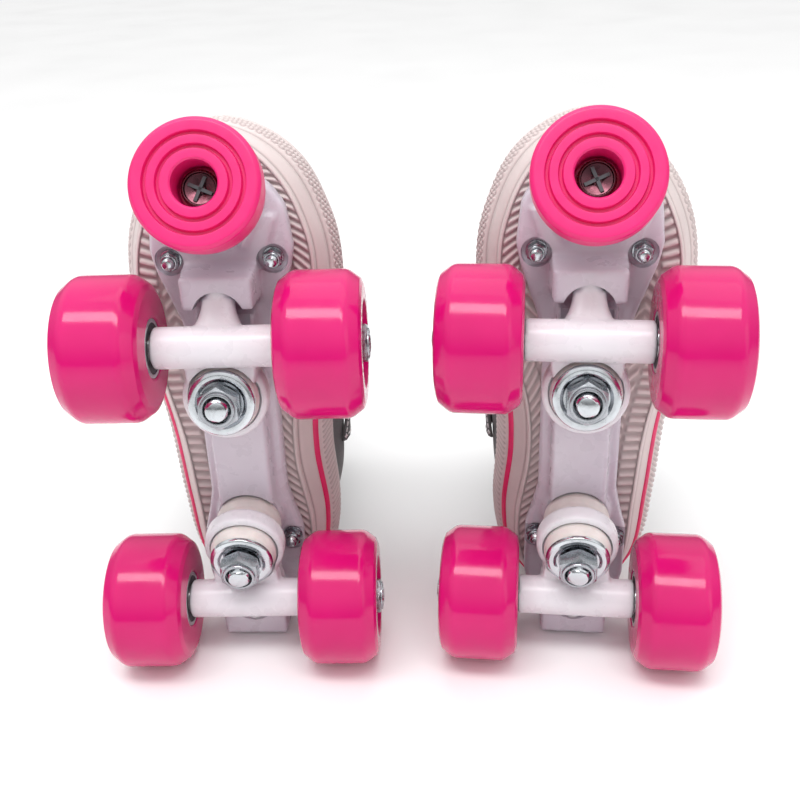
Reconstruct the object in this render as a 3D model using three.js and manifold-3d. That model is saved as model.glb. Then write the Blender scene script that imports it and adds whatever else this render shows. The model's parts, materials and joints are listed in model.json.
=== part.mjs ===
// A pair of quad roller skates: canvas boots on cream cupsoles, white nylon plates and trucks,
// pink wheels and pink toe stops. The pair lies on its heels with the toes up and the soles to -Y.
//
// Each skate is drawn in its own frame, in millimetres: +Y to the toe, +Z from the wheels to the boot,
// x = 0 on the middle of the plate, y = 0 halfway between the axles, z = 0 where the wheels would roll.
// The right skate is drawn (its inner side is -X) and the left one is its mirror image.
import * as THREE from "three";
import { mergeVertices } from "three/addons/utils/BufferGeometryUtils.js";
import Module from "manifold-3d";

const wasm = await Module();
wasm.setup();

const DEG = Math.PI / 180;

// Facets round a large and a small round piece
const largeFacets = 20;
const smallFacets = 12;

// Clearances
const seatGap = 0.3; // between pieces that bear on each other
const boreGap = 0.2; // round a shaft in its bore
const bootGap = 0.4; // between the soft layers of the boot

const beyond = 40; // how far a rough piece or a cutter runs past what it is cut by or cuts

// Wheels and bearings
const wheelRadius = 27;
const wheelWidth = 31;
const wheelLip = 5.5; // how far the rounded shoulder reaches in from each face
const wheelLipDrop = 5; // how much smaller the face is than the tread, on the radius
const recessFlare = 4.5; // how much wider than the bearing the outer hub recess opens
const innerMouthFlare = 2;
const bearingRadius = 11;
const bearingWidth = 7;
const spacerRadius = 6;
const innerBearingSet = 2.5; // depth of the inner bearing below the inner face
const outerBearingSet = 5; // depth of the outer bearing below the outer face

// Axle
const axleRadius = 3.95;
const axleNutAcross = 13;
const axleNutHeight = 6.2;
const axleTipLength = 0.9; // thread that stands out of the nut

// Chassis
const wheelbase = 112.7;
const halfTrack = 38.4; // from the middle of the skate to the middle of a wheel
const rideHeight = 33; // from the axles up to the underside of the sole
const slabThickness = 7.7;
const spineDepth = 8; // how far the middle of the plate stands below its slab
const spineHalfWidth = 12.5;
const spineAhead = 6; // both ends of the spine, ahead of the axles
const waistHalfWidth = 16;
const frontHalfWidth = 27;
const rearHalfWidth = 21;
const plateNose = 57.5; // from the front axle to the front end of the plate
const plateTail = 25; // from the rear axle to the rear end of the plate
const wheelClearance = 8; // from the front bolts back to where the plate narrows for the wheels
const frontBolt = { x: 19.5, ahead: 27.5 }; // from the front axle
const rearBolt = { x: 16.5, ahead: 12.5 }; // from the rear axle, towards the toe
const boltPocketRadius = 5.8;
const boltPocketDepth = 2.5;

// Truck: the kingpin leans, nut end outwards, and the hanger turns about a line square to it
const kingpinLean = 9.5 * DEG;
const kingpinRadius = 4.75;
const kingpinTipInboard = 19.05; // of the axle
const kingpinTipBelow = 14.5; // under the axle
const kingpinSeat = 8; // length of the kingpin inside the plate
const kingpinNutAcross = 14.3;
const kingpinTipLength = 1.5;
const kingpinNutHeight = 7.5;
const washerOverhang = 0.1; // of the washer past the cushion
const washerThickness = 2;
const washerRim = 1.6; // height of the washer's turned-up rim
const cushionRadius = 12.9;
const cushionBarrel = 0.5; // how much a cushion bulges
const cushionChamfer = 1;
const lowerCushionHeight = 7.4;
const upperCushionHeight = 13;
const ringWall = 2.35; // of the ring round its cups
const ringHeight = 8;
const ringWeb = 3.4; // thickness of the ring's floor between its two cups
const cupClearance = 1; // round a cushion in its cup
const ringHoleClearance = 2.75; // round the kingpin, so that the hanger can tilt
const tubeRadius = 7.75;
const neckHalfWidth = 6.5;
const neckRootHalfWidth = 13;
const neckDepth = 9; // of the neck below the middle of the ring
const neckRise = 3.75; // of the neck above it
const pivotReach = 36.8; // from the kingpin to the ball of the pivot
const pivotPinRadius = 4.5;
const pivotPinLength = 7;
const archClearance = 3.25; // each side of the hanger's neck
const archReach = 3.4; // how far the arch runs past the ball of the pivot
const archDepth = 20; // of the arch below the middle of the ring
const archRise = 8.5; // of the arch above it
const housingCheek = 4.75; // plate each side of the arch
const housingStart = 8.5; // of the housing, outboard of the axle
const housingDepth = 6.5; // of the housing below the spine
const housingWall = 6; // plate beyond the arch
const bossOverhang = 1.1; // of the boss past the cushion

// Toe stop
const stopRadius = 22.5;
const stopThickness = 18;
const stopRound = 2.5;
const stopTilt = 27 * DEG;
const stopAhead = 61.15; // centre of its face ahead of the front axle
const stopDrop = 4; // centre of its face below the axles
const stopHoleRadius = 8;
const stopHoleDepth = 13;
const stopGroove = { radii: [12.3, 16.8], width: 1.5, depth: 1.5 };
const stopBossRadius = 11.5;
const stopBoltRadius = 4;
const stopBoltLength = 20;
const stopHeadClearance = 1.4; // round the screw's head
const stopHeadHeight = 4;
const stopSlot = { halfWidth: 1, halfLength: 5, depth: 1.6 };

// Boot
const soleLength = 211;
const soleHalfWidth = 42.5;
const soleBack = -83.3; // back of the heel
const soleThickness = 24;
const treadThickness = 6; // lowest part of the sole's edge
const upperHeight = 106; // canvas above the sole
const upperInset = 1.5; // canvas inside the edge of the sole
const upperWall = 3;
const toeSlope = 0.8; // how much deeper an inner layer of the boot lies at the sloping front
const ankleFill = 0.86; // how full the ankle's oval is, as a share of the sole's width there
const throatHalfWidth = 11;
const throatStart = 0.36; // share of the canvas height where the throat starts
const throatBack = 0.3; // share of the sole's length behind which the throat stops
const tongueHalfWidth = 19;
const tongueThickness = 4.5;
const tongueRise = 9; // tongue above the collar
const tongueBack = 0.33; // share of the sole's length behind which the tongue stops
const tongueTuck = 0.06; // share of the canvas height by which it reaches below the throat
const strapThickness = 2.4;
const strapWidth = 22;
const strapBack = -22; // where the straps end on the sides
const strapHeights = [0.47, 0.86]; // shares of the canvas height, at the front
const strapSlope = 20 * DEG; // how far the straps drop towards their ends

// Pair
const halfSpacing = 65.4;
const splay = { right: 1.2 * DEG, left: 5 * DEG };

// Worked out from the sizes above
const axleY = wheelbase / 2;
const axleZ = wheelRadius;
const soleZ = axleZ + rideHeight;
const plateTop = soleZ - seatGap;
const slabZ = plateTop - slabThickness;
const spineZ = slabZ - spineDepth;
const innerFace = halfTrack - wheelWidth / 2;
const hangerHalfLength = innerFace + innerBearingSet - seatGap;
const outerBearingFace = halfTrack + wheelWidth / 2 - outerBearingSet;
const upperZ = soleZ + soleThickness + seatGap;
const recessRadius = bearingRadius + recessFlare;
const innerMouthRadius = bearingRadius + innerMouthFlare;
const washerRadius = cushionRadius + washerOverhang;
const cupRadius = cushionRadius + cupClearance;
const ringRadius = cupRadius + ringWall;
const ringHoleRadius = kingpinRadius + ringHoleClearance;
const bossRadius = cushionRadius + bossOverhang;
const archWidth = 2 * (neckHalfWidth + archClearance);
const housingHalfWidth = archWidth / 2 + housingCheek;
const stopHeadRadius = stopHoleRadius - stopHeadClearance;

// Places along the kingpin, from its tip
const nutStart = kingpinTipLength;
const washerStart = nutStart + kingpinNutHeight + seatGap;
const lowerCushionStart = washerStart + washerThickness + seatGap;
const webStart = lowerCushionStart + lowerCushionHeight + seatGap;
const ringMiddle = webStart + ringWeb / 2;
const upperCushionStart = webStart + ringWeb + seatGap;
const bossStart = upperCushionStart + upperCushionHeight + seatGap;
const kingpinLength = bossStart + kingpinSeat;

// Outline of the sole, round from the toe by the inner side: distance from the back of the heel, then
// the sideways place at the underside and at the top of the sole, as shares of length and half width.
const outline = [
  [1, -0.04, -0.04],
  [0.975, -0.3, -0.4],
  [0.925, -0.54, -0.69],
  [0.855, -0.71, -0.87],
  [0.76, -0.8, -0.99],
  [0.62, -0.74, -0.98],
  [0.465, -0.53, -0.83],
  [0.34, -0.495, -0.79],
  [0.2, -0.59, -0.82],
  [0.095, -0.54, -0.72],
  [0.025, -0.33, -0.43],
  [0, -0.02, -0.02],
  [0.025, 0.31, 0.41],
  [0.105, 0.52, 0.7],
  [0.24, 0.575, 0.79],
  [0.395, 0.635, 0.84],
  [0.53, 0.75, 0.93],
  [0.655, 0.84, 1],
  [0.77, 0.83, 0.97],
  [0.86, 0.69, 0.82],
  [0.935, 0.45, 0.55],
  [0.985, 0.18, 0.24],
];
const outlineSamples = 36;
const underfootInset = 0.008; // share of the length by which the underside is shorter at each end

// Boot profile: share of the canvas height, then front and back as shares of the sole's length, and
// the width as a share of the sole's width there.
const bootProfile = [
  [0, 0.985, 0.012, 0.97],
  [0.1, 0.985, 0.008, 0.985],
  [0.2, 0.955, 0.008, 0.95],
  [0.28, 0.905, 0.01, 0.9],
  [0.36, 0.82, 0.016, 0.86],
  [0.44, 0.72, 0.024, 0.83],
  [0.53, 0.6, 0.034, 0.81],
  [0.63, 0.52, 0.042, 0.8],
  [0.76, 0.475, 0.045, 0.8],
  [0.9, 0.455, 0.04, 0.81],
  [1, 0.45, 0.034, 0.83],
];

function solid(geometry) {
  const bare = geometry.clone();
  bare.deleteAttribute("normal");
  bare.deleteAttribute("uv");
  const merged = mergeVertices(bare, 1e-4);
  const mesh = new wasm.Mesh({
    numProp: 3,
    vertProperties: new Float32Array(merged.attributes.position.array),
    triVerts: new Uint32Array(merged.index.array),
  });
  return new wasm.Manifold(mesh);
}

function geometryOf(manifold) {
  const mesh = manifold.getMesh();
  const geometry = new THREE.BufferGeometry();
  geometry.setAttribute("position", new THREE.BufferAttribute(mesh.vertProperties, 3));
  geometry.setIndex(new THREE.BufferAttribute(mesh.triVerts, 1));
  const flat = geometry.toNonIndexed();
  flat.computeVertexNormals();
  return flat;
}

function join(pieces) {
  return pieces.slice(1).reduce((sum, piece) => sum.add(piece), pieces[0]);
}

function cut(body, tools) {
  return tools.reduce((rest, tool) => rest.subtract(tool), body);
}

// A solid of revolution about +Z, from [radius, height] points that run up the outside and down the bore
function turned(profile, segments) {
  const points = [...profile, profile[0]].map(([r, h]) => new THREE.Vector2(r, h));
  return new THREE.LatheGeometry(points, segments).rotateX(Math.PI / 2);
}

// A round or hexagonal rod along +Z, from its start to its end
function rod(radius, start, end, segments) {
  const length = end - start;
  const middle = (start + end) / 2;
  return new THREE.CylinderGeometry(radius, radius, length, segments)
    .rotateX(Math.PI / 2)
    .translate(0, 0, middle);
}

function hexRod(across, start, end) {
  return rod(across / 2 / Math.cos(Math.PI / 6), start, end, 6);
}

// A flat shape in the XY plane, given as points, raised from one height to another
function raised(points, low, high) {
  const shape = new THREE.Shape(points.map(([x, y]) => new THREE.Vector2(x, y)));
  return new THREE.ExtrudeGeometry(shape, { depth: high - low, bevelEnabled: false }).translate(0, 0, low);
}

function box(low, high) {
  const size = high.map((value, i) => value - low[i]);
  const middle = high.map((value, i) => (value + low[i]) / 2);
  return new THREE.BoxGeometry(...size).translate(...middle);
}

// A closed skin over a stack of rings that each run anticlockwise seen from above
function loft(rings) {
  const count = rings[0].length;
  const positions = rings.flat().flatMap((point) => [point.x, point.y, point.z]);
  const index = [];
  for (let level = 0; level < rings.length - 1; level++) {
    for (let i = 0; i < count; i++) {
      const next = (i + 1) % count;
      const a = level * count + i;
      const b = level * count + next;
      index.push(a, b, b + count, a, b + count, a + count);
    }
  }
  const last = (rings.length - 1) * count;
  for (const [ring, first, up] of [[rings[0], 0, false], [rings.at(-1), last, true]]) {
    const middle = ring.reduce((sum, point) => sum.add(point), new THREE.Vector3()).divideScalar(count);
    const apex = positions.length / 3;
    positions.push(middle.x, middle.y, middle.z);
    for (let i = 0; i < count; i++) {
      const a = first + i;
      const b = first + ((i + 1) % count);
      index.push(...(up ? [apex, a, b] : [apex, b, a]));
    }
  }
  const geometry = new THREE.BufferGeometry();
  geometry.setAttribute("position", new THREE.Float32BufferAttribute(positions, 3));
  geometry.setIndex(index);
  return geometry;
}

// The sole's outline at a height, from the underside (flare 0) to its top edge (flare 1)
function soleRing(flare, z) {
  const corners = outline.map(([along, under, top]) => {
    const share = THREE.MathUtils.lerp(underfootInset + along * (1 - 2 * underfootInset), along, flare);
    const x = THREE.MathUtils.lerp(under, top, flare) * soleHalfWidth;
    return new THREE.Vector3(x, soleBack + share * soleLength, z);
  });
  const curve = new THREE.CatmullRomCurve3(corners, true, "centripetal");
  return curve.getPoints(outlineSamples).slice(0, -1);
}

// The boot's outer shape drawn in by an inset, between two shares of the canvas height
function bootShape(inset, from, to) {
  const levels = bootProfile.map(([share]) => share).filter((share) => share > from && share < to);
  const rim = soleRing(1, 0);
  const rings = [from, ...levels, to].map((share) => bootRing(rim, inset, share));
  return loft(rings);
}

function bootRing(rim, inset, share) {
  const [front, back, width] = [1, 2, 3].map((column) => profileAt(share, column));
  const depth = inset + upperInset;
  const slope = 1 + toeSlope * Math.sin(Math.PI * THREE.MathUtils.clamp((share - 0.05) / 0.6, 0, 1));
  const frontY = soleBack + front * soleLength - depth * slope;
  const backY = soleBack + back * soleLength + depth;
  const oval = THREE.MathUtils.smoothstep(share, 0.15, 0.75);
  return rim.map((point) => {
    const along = (point.y - soleBack) / soleLength;
    const y = THREE.MathUtils.lerp(backY, frontY, along);
    const rounded = Math.sign(point.x) * Math.sqrt(Math.max(0, 1 - (2 * along - 1) ** 2));
    const reach = width * soleHalfWidth - depth;
    const x = THREE.MathUtils.lerp(point.x / soleHalfWidth, ankleFill * rounded, oval) * reach;
    return new THREE.Vector3(x, y, upperZ + share * upperHeight);
  });
}

// A column of the boot profile, smoothed between its rows and carried straight on above the collar
function profileAt(share, column) {
  const rows = bootProfile;
  const above = rows.findIndex(([level]) => level >= share);
  const upper = rows[above === -1 ? rows.length - 1 : Math.max(above, 1)];
  const lower = rows[rows.indexOf(upper) - 1];
  const part = (share - lower[0]) / (upper[0] - lower[0]);
  return THREE.MathUtils.lerp(lower[column], upper[column], part);
}

function makeOutsole() {
  const top = soleZ + soleThickness;
  return loft([
    soleRing(0, soleZ),
    soleRing(0.12, soleZ + treadThickness),
    soleRing(0.7, soleZ + treadThickness + 0.45 * (soleThickness - treadThickness)),
    soleRing(1, top - 0.3 * (soleThickness - treadThickness)),
    soleRing(1, top),
  ]);
}

function makeUpper() {
  const floor = upperWall / upperHeight;
  const body = solid(bootShape(0, 0, 1));
  const hollow = solid(bootShape(upperWall, floor, 1 + floor));
  const throatZ = upperZ + throatStart * upperHeight;
  const throat = [[-throatHalfWidth, throatZ + throatHalfWidth]];
  for (let step = 1; step < 8; step++) {
    const angle = Math.PI * (1 + step / 8);
    const z = throatZ + throatHalfWidth * (1 + Math.sin(angle));
    throat.push([throatHalfWidth * Math.cos(angle), z]);
  }
  const open = upperZ + upperHeight + beyond;
  throat.push([throatHalfWidth, throatZ + throatHalfWidth]);
  throat.push([throatHalfWidth, open], [-throatHalfWidth, open]);
  const middleY = soleBack + throatBack * soleLength;
  const slot = solid(raised(throat, -soleLength, -middleY).rotateX(Math.PI / 2));
  return cut(body, [hollow, slot]);
}

function makeTongue() {
  const inside = upperWall + bootGap;
  const low = throatStart - tongueTuck;
  const high = 1 + tongueRise / upperHeight;
  const outer = solid(bootShape(inside, low, high));
  const inner = solid(bootShape(inside + tongueThickness, low - 0.02, high + 0.02));
  const y = soleBack + tongueBack * soleLength;
  const corner = [tongueHalfWidth, y + soleLength, soleZ + 2 * upperHeight];
  const window = solid(box([-tongueHalfWidth, y, soleZ], corner));
  return cut(outer, [inner]).intersect(window);
}

// A hook-and-loop strap: a band of the boot's own shape, just outside it
function makeStrap(heightShare) {
  const outer = solid(bootShape(-bootGap - strapThickness, 0.04, 1.05));
  const inner = solid(bootShape(-bootGap, 0.02, 1.07));
  const front = soleBack + profileAt(heightShare, 1) * soleLength;
  const band = new THREE.BoxGeometry(2 * soleHalfWidth + 20, soleLength, strapWidth)
    .translate(0, -soleLength / 2 + 12, 0)
    .rotateX(strapSlope)
    .translate(0, front, upperZ + heightShare * upperHeight);
  const ahead = box([-2 * soleHalfWidth, strapBack, 0], [2 * soleHalfWidth, 2 * soleLength, 4 * upperHeight]);
  return cut(outer, [inner]).intersect(solid(band)).intersect(solid(ahead));
}

// The truck's frame: X across, +Y to the skate's near end and +Z up, with the axle's middle at the origin.
// A rear truck is the front one turned about.
function towardsEnd(geometry, end) {
  const faced = end > 0 ? geometry : geometry.rotateZ(Math.PI);
  return faced.translate(0, end * axleY, axleZ);
}

// Stands a piece drawn along +Z on the kingpin, with z measured from the kingpin's tip
function onKingpin(geometry) {
  return geometry.rotateX(kingpinLean).translate(0, -kingpinTipInboard, -kingpinTipBelow);
}

// A rod from the kingpin outwards along the line that the hanger turns about
function alongPivot(radius, start, end) {
  return rod(radius, start, end, smallFacets).rotateX(-Math.PI / 2).translate(0, 0, ringMiddle);
}

function truckSolid(geometry, end) {
  return solid(towardsEnd(geometry, end));
}

function makeKingpin(end) {
  return towardsEnd(onKingpin(rod(kingpinRadius, 0, kingpinLength, smallFacets)), end);
}

function makeKingpinNut(end) {
  const nut = solid(onKingpin(hexRod(kingpinNutAcross, nutStart, nutStart + kingpinNutHeight)));
  const hole = solid(onKingpin(rod(kingpinRadius + boreGap, -seatGap, kingpinLength, smallFacets)));
  return towardsEnd(geometryOf(cut(nut, [hole])), end);
}

function makeWasher(end) {
  const bore = kingpinRadius + boreGap;
  const profile = [
    [cushionRadius * 0.55, washerStart],
    [washerRadius - washerRim, washerStart],
    [washerRadius, washerStart + washerRim],
    [washerRadius, washerStart + washerThickness],
    [bore, washerStart + washerThickness],
    [bore, washerStart],
  ];
  return towardsEnd(onKingpin(turned(profile, largeFacets)), end);
}

function cushion(start, height, end) {
  const bore = kingpinRadius + boreGap;
  const profile = [
    [cushionRadius - cushionChamfer, start],
    [cushionRadius, start + cushionChamfer],
    [cushionRadius + cushionBarrel, start + height / 2],
    [cushionRadius, start + height - cushionChamfer],
    [cushionRadius - cushionChamfer, start + height],
    [bore, start + height],
    [bore, start],
  ];
  return towardsEnd(onKingpin(turned(profile, largeFacets)), end);
}

function makeLowerCushion(end) {
  return cushion(lowerCushionStart, lowerCushionHeight, end);
}

function makeUpperCushion(end) {
  return cushion(upperCushionStart, upperCushionHeight, end);
}

// Hanger: axle tube, ring round the kingpin, and a neck that runs out to the pivot pin
function makeHanger(end) {
  const tube = solid(rod(tubeRadius, -hangerHalfLength, hangerHalfLength, largeFacets).rotateY(Math.PI / 2));
  const ringLow = ringMiddle - ringHeight / 2;
  const ringHigh = ringMiddle + ringHeight / 2;
  const ring = solid(onKingpin(rod(ringRadius, ringLow, ringHigh, largeFacets)));
  const neckShape = [
    [-neckRootHalfWidth, 0.3 * pivotReach],
    [neckRootHalfWidth, 0.3 * pivotReach],
    [neckRootHalfWidth, 0.66 * pivotReach],
    [neckHalfWidth + 2, 0.78 * pivotReach],
    [neckHalfWidth, 0.9 * pivotReach],
    [neckHalfWidth * 0.7, pivotReach + 1],
    [-neckHalfWidth * 0.7, pivotReach + 1],
    [-neckHalfWidth, 0.9 * pivotReach],
    [-neckHalfWidth - 2, 0.78 * pivotReach],
    [-neckRootHalfWidth, 0.66 * pivotReach],
  ];
  const neck = solid(onKingpin(raised(neckShape, ringMiddle - neckDepth, ringMiddle + neckRise)));
  const pin = alongPivot(pivotPinRadius, 0.7 * pivotReach, pivotReach + pivotPinLength);
  const body = join([tube, ring, neck, solid(onKingpin(pin))]);
  const hole = rod(ringHoleRadius, ringLow - ringHeight, ringHigh + ringHeight, largeFacets);
  const lowerCup = rod(cupRadius, ringLow - 2 * ringHeight, ringMiddle - ringWeb / 2, largeFacets);
  const upperCup = rod(cupRadius, ringMiddle + ringWeb / 2, ringHigh + 2 * ringHeight, largeFacets);
  const bore = rod(axleRadius + boreGap, -halfTrack, halfTrack, smallFacets).rotateY(Math.PI / 2);
  const tools = [onKingpin(hole), onKingpin(lowerCup), onKingpin(upperCup), bore];
  return towardsEnd(geometryOf(cut(body, tools.map(solid))), end);
}

function makeAxle(end) {
  const nutEnd = outerBearingFace + boreGap + axleNutHeight;
  const tip = nutEnd + axleTipLength;
  const pieces = [solid(rod(axleRadius, -tip, tip, smallFacets))];
  for (const [low, high] of [[-nutEnd, -nutEnd + axleNutHeight], [nutEnd - axleNutHeight, nutEnd]]) {
    pieces.push(solid(hexRod(axleNutAcross, low, high)));
  }
  return towardsEnd(geometryOf(join(pieces)).rotateY(Math.PI / 2), end);
}

// Height in a wheel's own profile, with 0 in its middle and + to the outside
const innerBearing = [-wheelWidth / 2 + innerBearingSet, -wheelWidth / 2 + innerBearingSet + bearingWidth];
const outerBearing = [wheelWidth / 2 - outerBearingSet - bearingWidth, wheelWidth / 2 - outerBearingSet];

function shoulder(side) {
  const points = [];
  for (const turn of [0, 45, 90]) {
    const r = wheelRadius - wheelLipDrop * (1 - Math.sin(turn * DEG));
    const h = wheelWidth / 2 - wheelLip * (1 - Math.cos(turn * DEG));
    points.push([r, side * h]);
  }
  return side < 0 ? points : points.reverse();
}

function makeWheel() {
  const pocket = bearingRadius + boreGap;
  const [innerLow, innerHigh] = [innerBearing[0], innerBearing[1] + seatGap / 2];
  const [outerLow, outerHigh] = [outerBearing[0] - seatGap / 2, outerBearing[1]];
  return turned(
    [
      ...shoulder(-1),
      ...shoulder(1),
      [recessRadius, wheelWidth / 2],
      [pocket, outerHigh],
      [pocket, outerLow],
      [spacerRadius + 2, outerLow],
      [spacerRadius + 2, innerHigh],
      [pocket, innerHigh],
      [pocket, innerLow],
      [innerMouthRadius, -wheelWidth / 2],
    ],
    largeFacets,
  );
}

function makeBearings() {
  const bore = axleRadius + boreGap;
  return turned(
    [
      [bearingRadius, innerBearing[0]],
      [bearingRadius, innerBearing[1]],
      [spacerRadius, innerBearing[1]],
      [spacerRadius, outerBearing[0]],
      [bearingRadius, outerBearing[0]],
      [bearingRadius, outerBearing[1]],
      [bore, outerBearing[1]],
      [bore, innerBearing[0]],
    ],
    smallFacets,
  );
}

// Puts a wheel or its bearings at one end of an axle, outer side outwards
function atWheel(geometry, end, side) {
  return geometry.rotateY(side * Math.PI / 2).translate(side * halfTrack, end * axleY, axleZ);
}

// Half of the plate's outline, front to back, as [half width, y]
function plateEdge() {
  const nose = axleY + plateNose;
  const tail = -axleY - plateTail;
  return [
    [0.42 * frontHalfWidth, nose],
    [0.74 * frontHalfWidth, nose - 6],
    [0.94 * frontHalfWidth, nose - 14],
    [frontHalfWidth, axleY + frontBolt.ahead],
    [0.94 * frontHalfWidth, axleY + frontBolt.ahead - wheelClearance],
    [0.68 * frontHalfWidth, axleY - 1],
    [waistHalfWidth, axleY - 16],
    [waistHalfWidth, -axleY + 36],
    [0.86 * rearHalfWidth, -axleY + 26],
    [rearHalfWidth, -axleY + rearBolt.ahead + 3],
    [rearHalfWidth, -axleY - 6],
    [0.85 * rearHalfWidth, tail + 5],
    [0.55 * rearHalfWidth, tail],
  ];
}

function onToeStop(geometry) {
  return geometry.rotateX(stopTilt).translate(0, axleY + stopAhead, axleZ - stopDrop);
}

function plateTrucks(end) {
  const boss = onKingpin(rod(bossRadius, bossStart, bossStart + beyond, largeFacets));
  const archEnd = pivotReach + archReach;
  const housingEnd = archEnd * Math.cos(kingpinLean) - kingpinTipInboard + housingWall;
  const low = -axleZ + spineZ - housingDepth;
  const housing = box([-housingHalfWidth, housingStart, low], [housingHalfWidth, housingEnd, rideHeight]);
  return [truckSolid(boss, end), truckSolid(housing, end)];
}

function plateCuts(end) {
  const half = archWidth / 2;
  const round = pivotReach + archReach - half;
  const arch = [[-half, 0.2 * pivotReach], [half, 0.2 * pivotReach]];
  for (let step = 0; step <= 8; step++) {
    const angle = (Math.PI * step) / 8;
    arch.push([half * Math.cos(angle), round + half * Math.sin(angle)]);
  }
  const archLow = ringMiddle - archDepth;
  const archHigh = ringMiddle + archRise;
  const socketEnd = pivotReach + pivotPinLength + seatGap;
  const socket = alongPivot(pivotPinRadius + boreGap, 0.9 * pivotReach, socketEnd);
  const seat = rod(kingpinRadius + boreGap, 0, kingpinLength + seatGap, smallFacets);
  const cushionRoom = rod(bossRadius + 0.5, ringMiddle, bossStart, largeFacets);
  const tools = [raised(arch, archLow, archHigh), socket, seat, cushionRoom];
  return tools.map((tool) => truckSolid(onKingpin(tool), end));
}

function makePlate() {
  const right = plateEdge();
  const left = right.map(([x, y]) => [-x, y]).reverse();
  const slab = solid(raised([...left, ...right].reverse(), slabZ, plateTop));
  const spineEnds = [axleY + spineAhead, -axleY + spineAhead];
  const spine = [
    [-spineHalfWidth, spineEnds[1]],
    [spineHalfWidth, spineEnds[1]],
    [spineHalfWidth, spineEnds[0]],
    [-spineHalfWidth, spineEnds[0]],
  ];
  const bossFace = stopThickness + seatGap;
  const stopBoss = solid(onToeStop(rod(stopBossRadius, bossFace, bossFace + beyond, largeFacets)));
  const rough = join([
    slab,
    solid(raised(spine, spineZ, plateTop)),
    stopBoss,
    ...plateTrucks(1),
    ...plateTrucks(-1),
  ]);
  const boltEnd = stopHoleDepth - stopHeadHeight + stopBoltLength;
  const stopSeat = onToeStop(rod(stopBoltRadius + boreGap, 0, boltEnd + seatGap, smallFacets));
  const above = box([-beyond, -wheelbase, plateTop], [beyond, 2 * wheelbase, plateTop + 2 * beyond]);
  const pockets = [];
  for (const side of [-1, 1]) {
    const places = [[frontBolt, axleY], [rearBolt, -axleY]];
    for (const [bolt, from] of places) {
      const pocket = rod(boltPocketRadius, slabZ - beyond, slabZ + boltPocketDepth, smallFacets);
      pockets.push(pocket.translate(side * bolt.x, from + bolt.ahead, 0));
    }
  }
  const tools = [stopSeat, above, ...pockets].map(solid);
  return cut(rough, [...tools, ...plateCuts(1), ...plateCuts(-1)]);
}

function makeToeStop() {
  const bore = stopBoltRadius + boreGap;
  const profile = [
    [stopRadius - stopRound, 0],
    [stopRadius, stopRound],
    [stopRadius, stopThickness - stopRound],
    [stopRadius - stopRound, stopThickness],
    [bore, stopThickness],
    [bore, stopHoleDepth],
    [stopHoleRadius, stopHoleDepth],
    [stopHoleRadius, 0],
  ];
  for (const radius of stopGroove.radii) {
    const half = stopGroove.width / 2;
    profile.push([radius - half, 0], [radius - half, stopGroove.depth], [radius + half, stopGroove.depth]);
    profile.push([radius + half, 0]);
  }
  return onToeStop(turned(profile, largeFacets));
}

function makeToeStopBolt() {
  const start = stopHoleDepth - stopHeadHeight - seatGap;
  const head = solid(rod(stopHeadRadius, start, start + stopHeadHeight, smallFacets));
  const shank = solid(rod(stopBoltRadius, start, start + stopBoltLength, smallFacets));
  const { halfWidth, halfLength, depth } = stopSlot;
  const arms = [[halfWidth, halfLength], [halfLength, halfWidth]];
  const slots = arms.map(([x, y]) => solid(box([-x, -y, start - 1], [x, y, start + depth])));
  return onToeStop(geometryOf(cut(head.add(shank), slots)));
}

const looks = {
  canvas: { color: 0x8e8b8c, roughness: 0.9, metalness: 0 },
  trim: { color: 0xa3a0a2, roughness: 0.85, metalness: 0 },
  cream: { color: 0xe9dcd3, roughness: 0.6, metalness: 0 },
  nylon: { color: 0xf4f0f6, roughness: 0.4, metalness: 0 },
  pink: { color: 0xff2f86, roughness: 0.2, metalness: 0 },
  steel: { color: 0xb9bdc4, roughness: 0.25, metalness: 0.9 },
  urethane: { color: 0xe4d8c8, roughness: 0.5, metalness: 0 },
};
const materials = Object.fromEntries(
  Object.entries(looks).map(([name, look]) => [name, new THREE.MeshStandardMaterial(look)]),
);

function nodesOf(side) {
  const nodes = [];
  const add = (name, shape, look) => {
    const geometry = shape instanceof wasm.Manifold ? geometryOf(shape) : shape;
    const mesh = new THREE.Mesh(geometry, materials[look]);
    mesh.name = `${side}_${name}`;
    nodes.push(mesh);
  };
  add("outsole", makeOutsole(), "cream");
  add("upper", makeUpper(), "canvas");
  add("tongue", makeTongue(), "canvas");
  strapHeights.forEach((height, i) => add(`strap_${["lower", "upper"][i]}`, makeStrap(height), "trim"));
  add("plate", makePlate(), "nylon");
  add("toe_stop", makeToeStop(), "pink");
  add("toe_stop_bolt", makeToeStopBolt(), "steel");
  for (const [place, end] of [["front", 1], ["rear", -1]]) {
    add(`${place}_hanger`, makeHanger(end), "nylon");
    add(`${place}_kingpin`, makeKingpin(end), "steel");
    add(`${place}_kingpin_nut`, makeKingpinNut(end), "steel");
    add(`${place}_washer`, makeWasher(end), "steel");
    add(`${place}_lower_cushion`, makeLowerCushion(end), "urethane");
    add(`${place}_upper_cushion`, makeUpperCushion(end), "urethane");
    add(`${place}_axle`, makeAxle(end), "steel");
    for (const [edge, across] of [["inner", -1], ["outer", 1]]) {
      add(`${place}_${edge}_wheel`, atWheel(makeWheel(), end, across), "pink");
      add(`${place}_${edge}_bearings`, atWheel(makeBearings(), end, across), "steel");
    }
  }
  return nodes;
}

// Lays a skate on its heel, turned out by its splay, with the sole towards -Y
function laidDown(side) {
  const skate = new THREE.Group();
  skate.add(...nodesOf(side));
  skate.scale.x = side === "right" ? 1 : -1;
  const tipped = new THREE.Group();
  tipped.rotation.set(Math.PI / 2, Math.PI, 0);
  tipped.add(skate);
  const holder = new THREE.Group();
  holder.name = `${side}_skate`;
  const out = side === "right" ? -1 : 1;
  holder.rotation.z = -out * splay[side];
  holder.position.x = out * halfSpacing;
  holder.add(tipped);
  return holder;
}

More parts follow.
